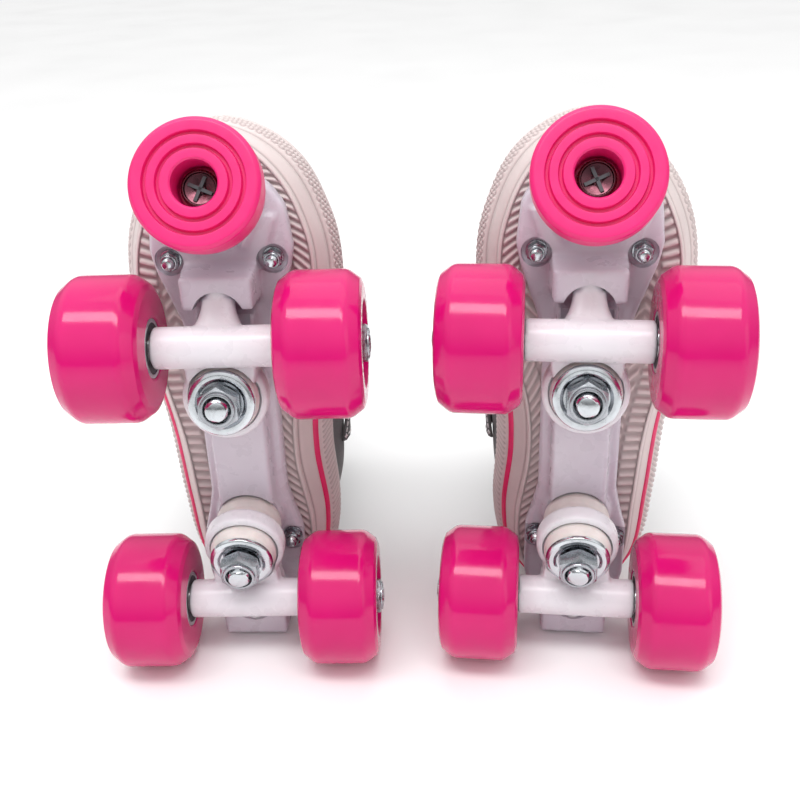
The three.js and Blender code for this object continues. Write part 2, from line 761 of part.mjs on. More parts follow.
const pair = new THREE.Group();
pair.add(laidDown("right"), laidDown("left"));
pair.updateMatrixWorld(true);
const extent = new THREE.Box3().setFromObject(pair, true);
const middle = extent.getCenter(new THREE.Vector3());
pair.position.set(-middle.x, -middle.y, -extent.min.z);

export default pair;
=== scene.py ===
import json
import math

import bmesh
import bpy
import numpy as np
from mathutils import Matrix, Vector


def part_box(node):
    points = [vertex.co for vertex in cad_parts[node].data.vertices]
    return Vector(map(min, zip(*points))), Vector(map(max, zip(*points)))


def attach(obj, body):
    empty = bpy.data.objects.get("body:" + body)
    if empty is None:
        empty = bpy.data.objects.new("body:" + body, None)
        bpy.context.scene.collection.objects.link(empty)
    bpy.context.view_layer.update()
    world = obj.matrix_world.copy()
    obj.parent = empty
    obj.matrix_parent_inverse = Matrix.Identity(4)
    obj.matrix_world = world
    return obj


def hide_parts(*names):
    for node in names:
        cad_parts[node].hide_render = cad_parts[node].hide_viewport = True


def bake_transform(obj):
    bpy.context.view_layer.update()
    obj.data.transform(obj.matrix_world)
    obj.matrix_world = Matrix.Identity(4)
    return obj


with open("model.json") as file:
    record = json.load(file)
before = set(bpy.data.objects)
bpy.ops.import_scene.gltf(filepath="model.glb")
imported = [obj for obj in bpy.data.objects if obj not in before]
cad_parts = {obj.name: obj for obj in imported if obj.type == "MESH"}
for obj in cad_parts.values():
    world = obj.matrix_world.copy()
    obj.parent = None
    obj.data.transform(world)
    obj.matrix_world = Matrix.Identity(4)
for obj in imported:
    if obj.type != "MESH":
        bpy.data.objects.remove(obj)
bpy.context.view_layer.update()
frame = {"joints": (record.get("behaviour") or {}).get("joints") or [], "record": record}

# A pair of quad roller skates, lying on their heels with the soles towards -Y.
#
# Every piece is drawn for the right skate, in millimetres, in the skate's own frame: x across with the
# outer side at +x, y to the toe, z from the wheels to the boot, and z = 0 where the wheels would roll.
# settle() brings a piece into the row frame, in metres, and mirrors it for the left skate.

SIDES = ("right", "left")
ENDS = {"front": 1, "rear": -1}
EDGES = {"inner": -1, "outer": 1}
JOINTS = {joint["name"]: joint for joint in frame["joints"]}
MOUNTS = {mount["name"]: mount for mount in frame["record"]["mounts"]}
MM = 0.001


# ---------------------------------------------------------------- where the frame puts each skate

def hub(side, end, edge):
    return Vector(JOINTS[f"{side}_{end}_{edge}_wheel_spin"]["pos_m"]) / MM


def box_mm(node):
    low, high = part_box(node)
    return Vector(low) / MM, Vector(high) / MM


def middle_of_axle(side, end):
    return (hub(side, end, "inner") + hub(side, end, "outer")) / 2


WHEEL_LOW, WHEEL_HIGH = box_mm("right_front_inner_wheel")
WHEEL_RADIUS = (WHEEL_HIGH.z - WHEEL_LOW.z) / 2
AXLE_Y = (middle_of_axle("right", "front") - middle_of_axle("right", "rear")).length / 2
AXLE_Z = WHEEL_RADIUS
HALF_TRACK = (hub("right", "front", "inner") - hub("right", "front", "outer")).length / 2


def skate_matrix(side):
    across = Vector(JOINTS[f"{side}_front_outer_wheel_spin"]["axis"]).normalized()
    front, rear = middle_of_axle(side, "front"), middle_of_axle(side, "rear")
    toe = (front - rear).normalized()
    boot = across.cross(toe)
    if boot.y < 0:
        boot.negate()
    origin = (front + rear) / 2 - boot * WHEEL_RADIUS
    matrix = Matrix.Identity(4)
    for column, axis in enumerate((across, toe, boot, origin)):
        for row in range(3):
            matrix[row][column] = axis[row]
    return matrix


SKATE = {side: skate_matrix(side) for side in SIDES}


def in_skate(point_m, side="right"):
    return SKATE[side].inverted() @ (Vector(point_m) / MM)


def turned_into_skate(direction, side="right"):
    return (SKATE[side].to_3x3().inverted() @ Vector(direction)).normalized()


RING_CENTRE = in_skate(JOINTS["right_front_truck_steer"]["pos_m"])
STEER_AXIS = turned_into_skate(JOINTS["right_front_truck_steer"]["axis"])
LEAN = math.atan2(STEER_AXIS.z, STEER_AXIS.y)
STOP_FACE = in_skate(MOUNTS["right_toe_stop_face"]["pos_m"])
STOP_AXIS = turned_into_skate(MOUNTS["right_toe_stop_face"]["axis"])
STOP_TILT = math.atan2(STOP_AXIS.y, -STOP_AXIS.z)


# ---------------------------------------------------------------- placing

def moved(x, y, z):
    return Matrix.Translation((x, y, z))


def about_x(angle):
    return Matrix.Rotation(angle, 4, "X")


def about_y(angle):
    return Matrix.Rotation(angle, 4, "Y")


def about_z(angle):
    return Matrix.Rotation(angle, 4, "Z")


def at_end(end):
    """From a truck's frame, whose origin is the axle's middle and whose y runs to the skate's near end."""
    if ENDS[end] > 0:
        return moved(0, AXLE_Y, AXLE_Z)
    return moved(0, -AXLE_Y, AXLE_Z) @ about_z(math.pi)


def on_kingpin(end):
    """From a frame whose z runs up the kingpin from the middle of the hanger's ring."""
    return at_end(end) @ moved(0, RING_CENTRE.y - AXLE_Y, RING_CENTRE.z - AXLE_Z) @ about_x(LEAN)


def on_toe_stop():
    """From a frame whose z runs from the middle of the stop's face up into the plate."""
    return moved(0, STOP_FACE.y, STOP_FACE.z) @ about_x(STOP_TILT)


def at_wheel(end, edge):
    """From a frame whose z is the wheel's axle, outwards, with the wheel's middle at the origin."""
    side = EDGES[edge]
    return moved(side * HALF_TRACK, ENDS[end] * AXLE_Y, AXLE_Z) @ about_y(side * math.pi / 2)


# ---------------------------------------------------------------- skins of points and faces

class Skin:
    """Points, faces and one (u, v) for each face corner."""

    def __init__(self, points, faces, corners=None):
        self.points = np.asarray(points, float).reshape(-1, 3)
        self.faces = faces
        self.corners = corners

    def placed(self, matrix):
        m = np.array(matrix)
        return Skin(self.points @ m[:3, :3].T + m[:3, 3], self.faces, self.corners)


def joined(skins):
    points, faces, corners, start = [], [], [], 0
    for skin in skins:
        points.append(skin.points)
        faces += [tuple(i + start for i in face) for face in skin.faces]
        corners += skin.corners or [[(0.0, 0.0)] * len(face) for face in skin.faces]
        start += len(skin.points)
    return Skin(np.concatenate(points), faces, corners)


def sheet_of(points, round_columns=False, round_rows=False, caps=(False, False), flat=None):
    """A grid of points [row, column, xyz] as a skin; its faces look out when the columns run
    anticlockwise seen from where the rows go. flat gives each point's (u, v)."""
    rows, columns = points.shape[:2]
    last_row = rows if round_rows else rows - 1
    last_column = columns if round_columns else columns - 1
    faces, corners = [], []
    for row in range(last_row):
        for column in range(last_column):
            r, c = (row + 1) % rows, (column + 1) % columns
            faces.append((row * columns + column, row * columns + c, r * columns + c, r * columns + column))
            if flat is not None:
                corners.append([flat(row, column), flat(row, column + 1), flat(row + 1, column + 1),
                                flat(row + 1, column)])
    out = points.reshape(-1, 3)
    for row, wanted, up in ((0, caps[0], False), (rows - 1, caps[1], True)):
        if not wanted:
            continue
        out = np.vstack([out, points[row].mean(axis=0)])
        apex = len(out) - 1
        for column in range(columns):
            a, b = row * columns + column, row * columns + (column + 1) % columns
            faces.append((apex, a, b) if up else (apex, b, a))
            if flat is not None:
                corners.append([flat(row, column)] * 3)
    return Skin(out, faces, corners if flat is not None else None)


def rounded(profile, steps=5):
    """Eases each [x, y, radius] corner of a closed outline into a curve."""
    out = []
    count = len(profile)
    for i, (x, y, radius) in enumerate(profile):
        here = np.array([x, y], float)
        if radius <= 0:
            out.append(here)
            continue
        before = np.array(profile[i - 1][:2], float) - here
        after = np.array(profile[(i + 1) % count][:2], float) - here
        back, on = np.linalg.norm(before), np.linalg.norm(after)
        bend = math.acos(max(-1, min(1, before @ after / back / on)))
        reach = min(radius / max(math.tan(bend / 2), 1e-6), 0.49 * back, 0.49 * on)
        start, end = here + before / back * reach, here + after / on * reach
        for t in np.linspace(0, 1, steps + 1):
            out.append((1 - t) ** 2 * start + 2 * t * (1 - t) * here + t * t * end)
    return np.array(out)


def turned(profile, segments=64, steps=5):
    """A ring about z from a closed outline of [radius, height, rounding], up the outside, down the bore."""
    outline = rounded(profile, steps)
    angles = np.arange(segments) * 2 * math.pi / segments
    grid = np.empty((len(outline), segments, 3))
    grid[..., 0] = outline[:, :1] * np.cos(angles)
    grid[..., 1] = outline[:, :1] * np.sin(angles)
    grid[..., 2] = outline[:, 1:]
    return sheet_of(grid, round_columns=True, round_rows=True)


def knob(profile, segments=48, steps=4):
    """A solid turned about z from an outline of [radius, height, rounding] that ends on the axis."""
    padded = [[0, profile[0][1], 0], *profile, [0, profile[-1][1], 0]]
    outline = rounded(padded, steps)[1:-1]
    angles = np.arange(segments) * 2 * math.pi / segments
    grid = np.empty((len(outline), segments, 3))
    grid[..., 0] = outline[:, :1] * np.cos(angles)
    grid[..., 1] = outline[:, :1] * np.sin(angles)
    grid[..., 2] = outline[:, 1:]
    return sheet_of(grid, round_columns=True, caps=(True, True))


def hex_nut(across, low, high, bore, segments=72):
    """A hexagon nut about z, chamfered at both ends, with an eased bore."""
    apothem = across / 2
    angles = np.arange(segments) * 2 * math.pi / segments
    sector = (angles + math.pi / 6) % (math.pi / 3) - math.pi / 6
    reach = apothem / np.cos(sector)
    chamfer_start = apothem * 0.97
    drop = (reach - chamfer_start) * math.tan(math.radians(30))
    ease = 0.5
    rings = [
        (np.full(segments, bore), np.full(segments, low + ease)),
        (np.full(segments, bore + ease), np.full(segments, low)),
        (np.full(segments, chamfer_start), np.full(segments, low)),
        (reach, low + drop),
        (reach, high - drop),
        (np.full(segments, chamfer_start), np.full(segments, high)),
        (np.full(segments, bore + ease), np.full(segments, high)),
        (np.full(segments, bore), np.full(segments, high - ease)),
    ]
    grid = np.empty((len(rings), segments, 3))
    for row, (radius, height) in enumerate(rings):
        grid[row] = np.stack([radius * np.cos(angles), radius * np.sin(angles), height], axis=1)
    return sheet_of(grid, round_columns=True, round_rows=True)


def thread(radius, low, high, pitch=1.25, depth=0.5, segments=36, tip=0.8):
    """A threaded rod about z whose lower end is eased."""
    rows = max(8, int((high - low) / pitch * 6))
    heights = np.linspace(low, high, rows)
    angles = np.arange(segments) * 2 * math.pi / segments
    wave = np.abs(((heights[:, None] / pitch - angles / (2 * math.pi)) % 1) * 2 - 1)
    ends = np.clip((heights - low) / tip, 0, 1)[:, None]
    reach = (radius - depth * wave) * (0.72 + 0.28 * np.sqrt(ends))
    grid = np.stack([reach * np.cos(angles), reach * np.sin(angles),
                     np.broadcast_to(heights[:, None], reach.shape)], axis=2)
    return sheet_of(grid, round_columns=True, caps=(True, True))


def prism(outline, low, high):
    """A straight-sided block from an anticlockwise outline of [x, y]."""
    outline = np.asarray(outline, float)
    grid = np.empty((2, len(outline), 3))
    grid[:, :, :2] = outline
    grid[0, :, 2], grid[1, :, 2] = low, high
    count = len(outline)
    skin = sheet_of(grid, round_columns=True)
    skin.faces += [tuple(range(count))[::-1], tuple(range(count, 2 * count))]
    return skin


def rod(radius, low, high, segments=48):
    return knob([[radius, low, 0], [radius, high, 0]], segments)


# ---------------------------------------------------------------- Blender objects

def mesh_of(name, skin, side, smooth=32):
    """A mesh in the row frame, in metres, from a skin in the right skate's frame."""
    matrix = SKATE[side] @ Matrix.Identity(4)
    m = np.array(matrix)
    points = (skin.points @ m[:3, :3].T + m[:3, 3]) * MM
    mirrored = matrix.to_3x3().determinant() < 0
    faces = [face[::-1] for face in skin.faces] if mirrored else skin.faces
    mesh = bpy.data.meshes.new(name)
    mesh.from_pydata(points.tolist(), [], faces)
    if skin.corners:
        layer = mesh.uv_layers.new(name="cloth")
        flat = [uv for face in skin.corners for uv in (face[::-1] if mirrored else face)]
        layer.data.foreach_set("uv", np.array(flat, np.float32).ravel())
    mesh.shade_smooth()
    if smooth < 180:
        mesh.set_sharp_from_angle(angle=math.radians(smooth))
    return mesh


def new_object(name, mesh):
    thing = bpy.data.objects.new(name, mesh)
    bpy.context.scene.collection.objects.link(thing)
    return thing


def settle(name, skin, side, body, look, smooth=32, replaces=()):
    """Makes a piece of the skate and lets it ride on its body."""
    thing = new_object(f"{side}_{name}", mesh_of(f"{side}_{name}", skin, side, smooth))
    return ride_on(thing, side, body, look, replaces)


def ride_on(thing, side, body, look, replaces=()):
    thing.data.materials.clear()
    thing.data.materials.append(look)
    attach(thing, f"{side}_{body}")
    if replaces:
        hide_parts(*[f"{side}_{node}" for node in replaces])
    return thing


def applied(thing):
    """The object's mesh with its modifiers done, in place of them."""
    graph = bpy.context.evaluated_depsgraph_get()
    done = bpy.data.meshes.new_from_object(thing.evaluated_get(graph))
    thing.modifiers.clear()
    old = thing.data
    thing.data = done
    bpy.data.meshes.remove(old)
    return thing


def moulded(name, lumps, side, voxel, soften, cuts=(), sharp=40):
    """One smooth moulded skin round several overlapping lumps, with crisp cuts made afterwards."""
    thing = new_object(name, mesh_of(name, joined(lumps), side, 180))
    remesh = thing.modifiers.new("skin", "REMESH")
    remesh.mode = "VOXEL"
    remesh.voxel_size = voxel * MM
    ease = thing.modifiers.new("ease", "SMOOTH")
    ease.factor = 0.6
    ease.iterations = soften
    applied(thing)
    if cuts:
        tool = new_object(f"{name}_cutter", mesh_of(f"{name}_cutter", joined(cuts), side, 180))
        carve = thing.modifiers.new("carve", "BOOLEAN")
        carve.operation = "DIFFERENCE"
        carve.solver = "EXACT"
        carve.use_self = True
        carve.object = tool
        applied(thing)
        bpy.data.objects.remove(tool)
    thing.data.shade_smooth()
    thing.data.set_sharp_from_angle(angle=math.radians(sharp))
    return thing


# ---------------------------------------------------------------- finishes

class Finish:
    """A procedural material, built up node by node on a Principled shader."""

    def __init__(self, name, color, roughness, **sockets):
        self.material = bpy.data.materials.new(name)
        self.material.use_nodes = True
        self.nodes = self.material.node_tree.nodes
        self.links = self.material.node_tree.links
        self.shader = self.nodes["Principled BSDF"]
        self.shader.inputs["Base Color"].default_value = (*color, 1)
        self.shader.inputs["Roughness"].default_value = roughness
        for socket, value in sockets.items():
            self.shader.inputs[socket.replace("_", " ")].default_value = value
        self.place = self.nodes.new("ShaderNodeTexCoord").outputs["Object"]
        self.bump_height = None

    def node(self, kind, inputs=None, **settings):
        made = self.nodes.new(f"ShaderNode{kind}")
        for key, value in settings.items():
            setattr(made, key, value)
        for key, value in (inputs or {}).items():
            self.feed(made.inputs[key], value)
        return made

    def feed(self, socket, value):
        if isinstance(value, bpy.types.NodeSocket):
            self.links.new(value, socket)
        else:
            socket.default_value = value

    def math(self, operation, a, b=0.0, clamp=False):
        made = self.node("Math", operation=operation, use_clamp=clamp)
        self.feed(made.inputs[0], a)
        self.feed(made.inputs[1], b)
        return made.outputs[0]

    def noise(self, scale, detail=3.0, place=None, rough=0.5):
        inputs = {"Vector": place or self.place, "Scale": scale, "Detail": detail, "Roughness": rough}
        return self.node("TexNoise", inputs).outputs["Fac"]

    def ramp(self, factor, *stops):
        made = self.node("ValToRGB", {"Fac": factor})
        elements = made.color_ramp.elements
        while len(elements) < len(stops):
            elements.new(0.5)
        for element, (position, value) in zip(elements, stops):
            element.position = position
            element.color = (*value, 1) if len(value) == 3 else value
        return made.outputs["Color"]

    def grey(self, factor, low, high, start=0.0, end=1.0):
        made = self.node("MapRange", {"Value": factor, "From Min": start, "From Max": end,
                                      "To Min": low, "To Max": high})
        return made.outputs["Result"]

    def paint(self, color):
        self.feed(self.shader.inputs["Base Color"], color)
        return self

    def blend_color(self, factor, a, b, mode="MIX"):
        made = self.node("Mix", data_type="RGBA", blend_type=mode)
        self.feed(made.inputs[0], factor)
        for socket, value in ((made.inputs[6], a), (made.inputs[7], b)):
            self.feed(socket, value if isinstance(value, bpy.types.NodeSocket) else (*value, 1))
        return made.outputs[2]

    def rough(self, factor, low, high, start=0.3, end=0.7):
        self.feed(self.shader.inputs["Roughness"], self.grey(factor, low, high, start, end))
        return self

    def bump(self, height, distance_mm, strength=1.0):
        inputs = {"Height": height, "Distance": distance_mm * MM, "Strength": strength}
        made = self.node("Bump", inputs)
        if self.bump_height is not None:
            self.feed(made.inputs["Normal"], self.bump_height)
        self.bump_height = made.outputs["Normal"]
        self.feed(self.shader.inputs["Normal"], self.bump_height)
        return self


def pink_urethane():
    f = Finish("pink_urethane", (0.93, 0.02, 0.19), 0.16, Subsurface_Weight=0.06, Coat_Weight=0.12,
               Specular_IOR_Level=0.32, Coat_Roughness=0.06, Subsurface_Scale=0.004)
    f.shader.inputs["Subsurface Radius"].default_value = (1.0, 0.3, 0.4)
    cloud = f.noise(38, 2)
    f.paint(f.blend_color(f.grey(cloud, 0, 1, 0.35, 0.65), (0.58, 0.004, 0.135), (0.63, 0.006, 0.15)))
    f.rough(f.noise(160, 4), 0.11, 0.21)
    return f.bump(f.noise(900, 3), 0.006).material


def pink_stop_rubber():
    f = Finish("pink_stop_rubber", (0.93, 0.03, 0.2), 0.38, Subsurface_Weight=0.1, Subsurface_Scale=0.003)
    f.shader.inputs["Subsurface Radius"].default_value = (1.0, 0.3, 0.4)
    cloud = f.noise(60, 3)
    f.paint(f.blend_color(f.grey(cloud, 0, 1, 0.3, 0.7), (0.74, 0.01, 0.16), (0.8, 0.013, 0.18)))
    f.rough(f.noise(240, 4), 0.3, 0.46)
    return f.bump(f.noise(1500, 3), 0.012).material


def white_nylon(name, pale, dim):
    f = Finish(name, pale, 0.3, Subsurface_Weight=0.18, Subsurface_Scale=0.005)
    f.shader.inputs["Subsurface Radius"].default_value = (1.0, 0.85, 1.0)
    cloud = f.noise(22, 3)
    f.paint(f.blend_color(f.grey(cloud, 0, 1, 0.35, 0.7), pale, dim))
    f.rough(f.noise(130, 4), 0.22, 0.36)
    f.bump(f.noise(90, 2), 0.05)
    return f.bump(f.noise(1400, 2), 0.008).material


def cream_rubber(name="cream_rubber", color=(0.69, 0.605, 0.59), painted_groove_shade=(0.2, 0.14, 0.145)):
    f = Finish(name, color, 0.5)
    worn = f.noise(55, 5, rough=0.6)
    pale = tuple(min(1, c * 1.08) for c in color)
    body = f.blend_color(f.grey(worn, 0, 1, 0.35, 0.7), color, pale)
    # The sunk attribute mixes in a darker colour: painted shade in the tread's hollows and in the grooves round
    # the sole's edge.
    sunk = f.node("Attribute", attribute_name="sunk").outputs["Fac"]
    f.paint(f.blend_color(sunk, body, painted_groove_shade))
    f.rough(f.noise(300, 3), 0.42, 0.6)
    return f.bump(f.noise(2200, 3), 0.015).material


def zinc(name, color, roughness, streak=0.1):
    f = Finish(name, color, roughness, Metallic=1.0)
    cloud = f.noise(120, 4)
    dim = tuple(c * 0.82 for c in color)
    f.paint(f.blend_color(f.grey(cloud, 0, 1, 0.35, 0.7), color, dim))
    f.rough(f.noise(500, 3), max(0.05, roughness - streak), roughness + streak)
    return f.bump(f.noise(1800, 3), 0.006).material


def plain_rubber(name, color, roughness):
    f = Finish(name, color, roughness, Subsurface_Weight=0.08, Subsurface_Scale=0.002)
    cloud = f.noise(150, 4)
    dim = tuple(c * 0.85 for c in color)
    f.paint(f.blend_color(f.grey(cloud, 0, 1, 0.35, 0.7), color, dim))
    f.rough(f.noise(400, 3), roughness - 0.08, roughness + 0.08)
    return f.bump(f.noise(1600, 3), 0.012).material


def woven(name, color, dark, thread_mm, roughness=0.85, sheen=0.25, flat=True, ribs=1.0):
    """A plain weave. It follows the cloth's own (u, v), in millimetres, or the piece's place."""
    f = Finish(name, color, roughness, Sheen_Weight=sheen, Sheen_Roughness=0.5)
    if flat:
        place = f.node("UVMap", uv_map="cloth").outputs["UV"]
        turns = 2 * math.pi / thread_mm
    else:
        place = f.place
        turns = 2 * math.pi / thread_mm / MM
    parts = f.node("SeparateXYZ", {"Vector": place})
    waves = []
    for axis, stretch in (("X", 1.0), ("Y", ribs)) if flat else (("X", 1.0), ("Y", 1.0), ("Z", 1.0)):
        waves.append(f.math("SINE", f.math("MULTIPLY", parts.outputs[axis], turns * stretch)))
    weave = f.math("MULTIPLY", waves[0], waves[1])
    if not flat:
        weave = f.math("ADD", weave, f.math("MULTIPLY", waves[1], waves[2]))
    slub = f.noise(700, 3)
    fade = f.noise(28, 4)
    height = f.math("ADD", f.math("MULTIPLY", weave, 0.5), f.math("MULTIPLY", slub, 0.7))
    mottle = f.blend_color(f.grey(height, 0, 1, -0.4, 0.9), dark, color)
    faded = f.blend_color(f.grey(fade, 0, 0.35, 0.35, 0.75), mottle, tuple(min(1, c * 1.35) for c in color))
    f.paint(faded)
    return f.bump(height, 0.16 * thread_mm).material


LOOKS = {
    "urethane": pink_urethane(),
    "stop": pink_stop_rubber(),
    # The plate's nylon has its own lilac tint, but it is set darker than the hangers' nylon below as painted
    # shade, for the plate lying in shade between the trucks.
    "nylon": white_nylon("lilac_nylon_darkened_as_shade", (0.66, 0.62, 0.68), (0.57, 0.52, 0.595)),
    "casting": white_nylon("white_nylon", (0.78, 0.77, 0.8), (0.72, 0.7, 0.745)),
    "sole": cream_rubber(),
    "line": plain_rubber("pink_line", (0.85, 0.03, 0.16), 0.4),
    "zinc": zinc("zinc_plate", (0.62, 0.65, 0.68), 0.2),
    "chrome": zinc("bearing_steel", (0.6, 0.6, 0.62), 0.16, 0.06),
    "nut": zinc("nut_steel", (0.42, 0.44, 0.47), 0.26),
    "shield": plain_rubber("bearing_shield", (0.035, 0.035, 0.04), 0.45),
    # A near-black finish for the cross in the screw's head: painted shade standing for the recess.
    "slot": zinc("cross_recess_painted_shade", (0.12, 0.12, 0.13), 0.4),
    # The toe stop's screw: its dark colour is painted shade of the hole it sits in, and its pink tint a painted
    # reflection of the pink rubber round it.
    "screw": zinc("screw_painted_shade_and_reflection", (0.13, 0.05, 0.065), 0.26),
    "insert": plain_rubber("nylon_insert", (0.55, 0.6, 0.75), 0.4),
    "cushion": plain_rubber("cushion_urethane", (0.78, 0.73, 0.7), 0.42),
    "print": zinc("silver_print", (0.85, 0.78, 0.84), 0.35),
    "canvas": woven("grey_canvas", (0.13, 0.127, 0.13), (0.05, 0.048, 0.05), 0.8),
    "panel": woven("grey_panel", (0.105, 0.102, 0.105), (0.038, 0.037, 0.038), 0.8),
    "webbing": woven("strap_webbing", (0.085, 0.082, 0.085), (0.028, 0.027, 0.028), 1.3, ribs=0.35),
    "lining": woven("soft_lining", (0.5, 0.47, 0.48), (0.3, 0.27, 0.28), 0.9, flat=False),
    "padding": woven("padded_canvas", (0.17, 0.165, 0.17), (0.07, 0.067, 0.07), 0.85, flat=False),
    "binding": woven("binding_tape", (0.62, 0.57, 0.58), (0.36, 0.32, 0.33), 0.6, ribs=0.5),
    "stitch": plain_rubber("stitch_thread", (0.72, 0.68, 0.69), 0.6),
}


# ---------------------------------------------------------------- camera, light and floor

def make_camera():
    """Looks down at the soles from in front, a little to the right and a little rolled."""
    data = bpy.data.cameras.new("camera")
    data.lens, data.sensor_width = 45, 36
    camera = bpy.data.objects.new("camera", data)
    bpy.context.scene.collection.objects.link(camera)
    azimuth, down, roll = math.radians(3.14), math.radians(26.68), math.radians(2.2)
    camera.matrix_world = (
        Matrix.Translation(Vector((16.8, -400.1, 282.8)) * MM)
        @ Matrix.Rotation(azimuth, 4, "Z")
        @ Matrix.Rotation(math.pi / 2 - down, 4, "X")
        @ Matrix.Rotation(roll * -1, 4, "Z")
    )
    data.clip_start, data.clip_end = 0.01, 50
    bpy.context.scene.camera = camera


def soft_box(name, place, aim, size, power, color=(1, 1, 1)):
    data = bpy.data.lights.new(name, "AREA")
    data.shape = "RECTANGLE"
    data.size, data.size_y = size
    data.energy, data.color = power, color
    light = bpy.data.objects.new(name, data)
    bpy.context.scene.collection.objects.link(light)
    light.location = place
    light.rotation_euler = (Vector(aim) - Vector(place)).to_track_quat("-Z", "Y").to_euler()


SKY = (0.12, 1.15)  # how bright the studio is at the horizon and overhead


def light_studio():
    world = bpy.data.worlds.new("studio")
    bpy.context.scene.world = world
    world.use_nodes = True
    nodes, links = world.node_tree.nodes, world.node_tree.links
    direction, parts = nodes.new("ShaderNodeTexCoord"), nodes.new("ShaderNodeSeparateXYZ")
    brightness = nodes.new("ShaderNodeMapRange")
    brightness.interpolation_type = "SMOOTHSTEP"
    for socket, value in zip(("From Min", "From Max", "To Min", "To Max"), (-0.1, 0.75, *SKY)):
        brightness.inputs[socket].default_value = value
    links.new(direction.outputs["Generated"], parts.inputs["Vector"])
    links.new(parts.outputs["Z"], brightness.inputs["Value"])
    links.new(brightness.outputs["Result"], nodes["Background"].inputs["Strength"])
    nodes["Background"].inputs["Color"].default_value = (1, 1, 1, 1)
    soft_box("key", (-0.1, -0.48, 1.25), (0, 0, 0.1), (1.1, 0.3), 8.5)
    soft_box("overhead", (0.1, 0.35, 1.4), (0, 0.1, 0), (1.2, 0.8), 2.2)
    soft_box("fill", (0.95, -0.7, 0.5), (0, 0, 0.1), (0.5, 0.7), 0.8)
    view = bpy.context.scene.view_settings
    view.view_transform = "Standard"
    view.look = "None"


def make_floor():
    f = Finish("white_table", (0.95, 0.95, 0.95), 0.5, Specular_IOR_Level=0.2)
    f.rough(f.noise(6, 3), 0.42, 0.55)
    reach = 6
    mesh = bpy.data.meshes.new("floor")
    mesh.from_pydata([(-reach, -reach, 0), (reach, -reach, 0), (reach, reach, 0), (-reach, reach, 0)], [],
                     [(0, 1, 2, 3)])
    floor = new_object("floor", mesh)
    mesh.materials.append(f.material)


make_camera()
light_studio()
make_floor()


# ---------------------------------------------------------------- rows of small things along a path

def row_tree():
    """Puts one item at even spaces along each path, turned to it, as real mesh."""
    tree = bpy.data.node_groups.new("row_along_path", "GeometryNodeTree")
    face = tree.interface
    face.new_socket("Paths", in_out="INPUT", socket_type="NodeSocketGeometry")
    face.new_socket("Item", in_out="INPUT", socket_type="NodeSocketObject")
    face.new_socket("Spacing", in_out="INPUT", socket_type="NodeSocketFloat")
    face.new_socket("Look", in_out="INPUT", socket_type="NodeSocketMaterial")
    face.new_socket("Row", in_out="OUTPUT", socket_type="NodeSocketGeometry")
    add, link = tree.nodes.new, tree.links.new
    start, end = add("NodeGroupInput"), add("NodeGroupOutput")
    curves, places = add("GeometryNodeMeshToCurve"), add("GeometryNodeCurveToPoints")
    item, copies = add("GeometryNodeObjectInfo"), add("GeometryNodeInstanceOnPoints")
    real, paint = add("GeometryNodeRealizeInstances"), add("GeometryNodeSetMaterial")
    places.mode = "LENGTH"
    link(start.outputs["Paths"], curves.inputs["Mesh"])
    link(curves.outputs["Curve"], places.inputs["Curve"])
    link(start.outputs["Spacing"], places.inputs["Length"])
    link(start.outputs["Item"], item.inputs["Object"])
    link(places.outputs["Points"], copies.inputs["Points"])
    link(item.outputs["Geometry"], copies.inputs["Instance"])
    link(places.outputs["Rotation"], copies.inputs["Rotation"])
    link(copies.outputs["Instances"], real.inputs["Geometry"])
    link(real.outputs["Geometry"], paint.inputs["Geometry"])
    link(start.outputs["Look"], paint.inputs["Material"])
    link(paint.outputs["Geometry"], end.inputs["Row"])
    return tree


ROW_TREE = row_tree()


def small_item(name, radius, length, segments=8):
    """A little round-ended bar along z, in metres, that the rows copy."""
    ends = [[radius * math.sin(a), -length / 2 - radius * math.cos(a) * 0.6, 0] for a in (0.5, 1.1, 1.57)]
    profile = ends + [[r, -h, 0] for r, h, _ in ends[::-1]]
    skin = knob(profile, segments, 1)
    mesh = bpy.data.meshes.new(name)
    mesh.from_pydata((skin.points * MM).tolist(), [], skin.faces)
    mesh.shade_smooth()
    return mesh


def row_of(name, lines, side, body, look, spacing, radius, length, closed=False):
    """Stitches, printed marks or the like along lines drawn in the right skate's frame."""
    points, edges, start = [], [], 0
    for line in lines:
        line = np.asarray(line)
        points.append(line)
        edges += [(start + i, start + i + 1) for i in range(len(line) - 1)]
        if closed:
            edges.append((start + len(line) - 1, start))
        start += len(line)
    m = np.array(SKATE[side])
    placed = (np.concatenate(points) @ m[:3, :3].T + m[:3, 3]) * MM
    mesh = bpy.data.meshes.new(name)
    mesh.from_pydata(placed.tolist(), edges, [])
    thing = new_object(f"{side}_{name}", mesh)
    item = new_object(f"{name}_item", small_item(f"{name}_item", radius, length))
    row = thing.modifiers.new("row", "NODES")
    row.node_group = ROW_TREE
    values = {"Item": item, "Spacing": spacing * MM, "Look": look}
    for socket in ROW_TREE.interface.items_tree:
        if socket.name in values and socket.in_out == "INPUT":
            row[socket.identifier] = values[socket.name]
    applied(thing)
    bpy.data.objects.remove(item)
    thing.data.shade_smooth()
    return ride_on(thing, side, body, look)


def stitched(name, lines, side, spacing=3.1):
    row_of(name, lines, side, "chassis", LOOKS["stitch"], spacing, 0.34, spacing * 0.62)


# ---------------------------------------------------------------- wheels and bearings

WHEEL_HALF = 15.5
INNER_BEARING = (-15.2, -8.2)  # along the wheel's axle, + outwards from the wheel's middle
OUTER_BEARING = (3.5, 10.5)
BEARING_RADIUS = 11.0
AXLE_RADIUS = 3.95


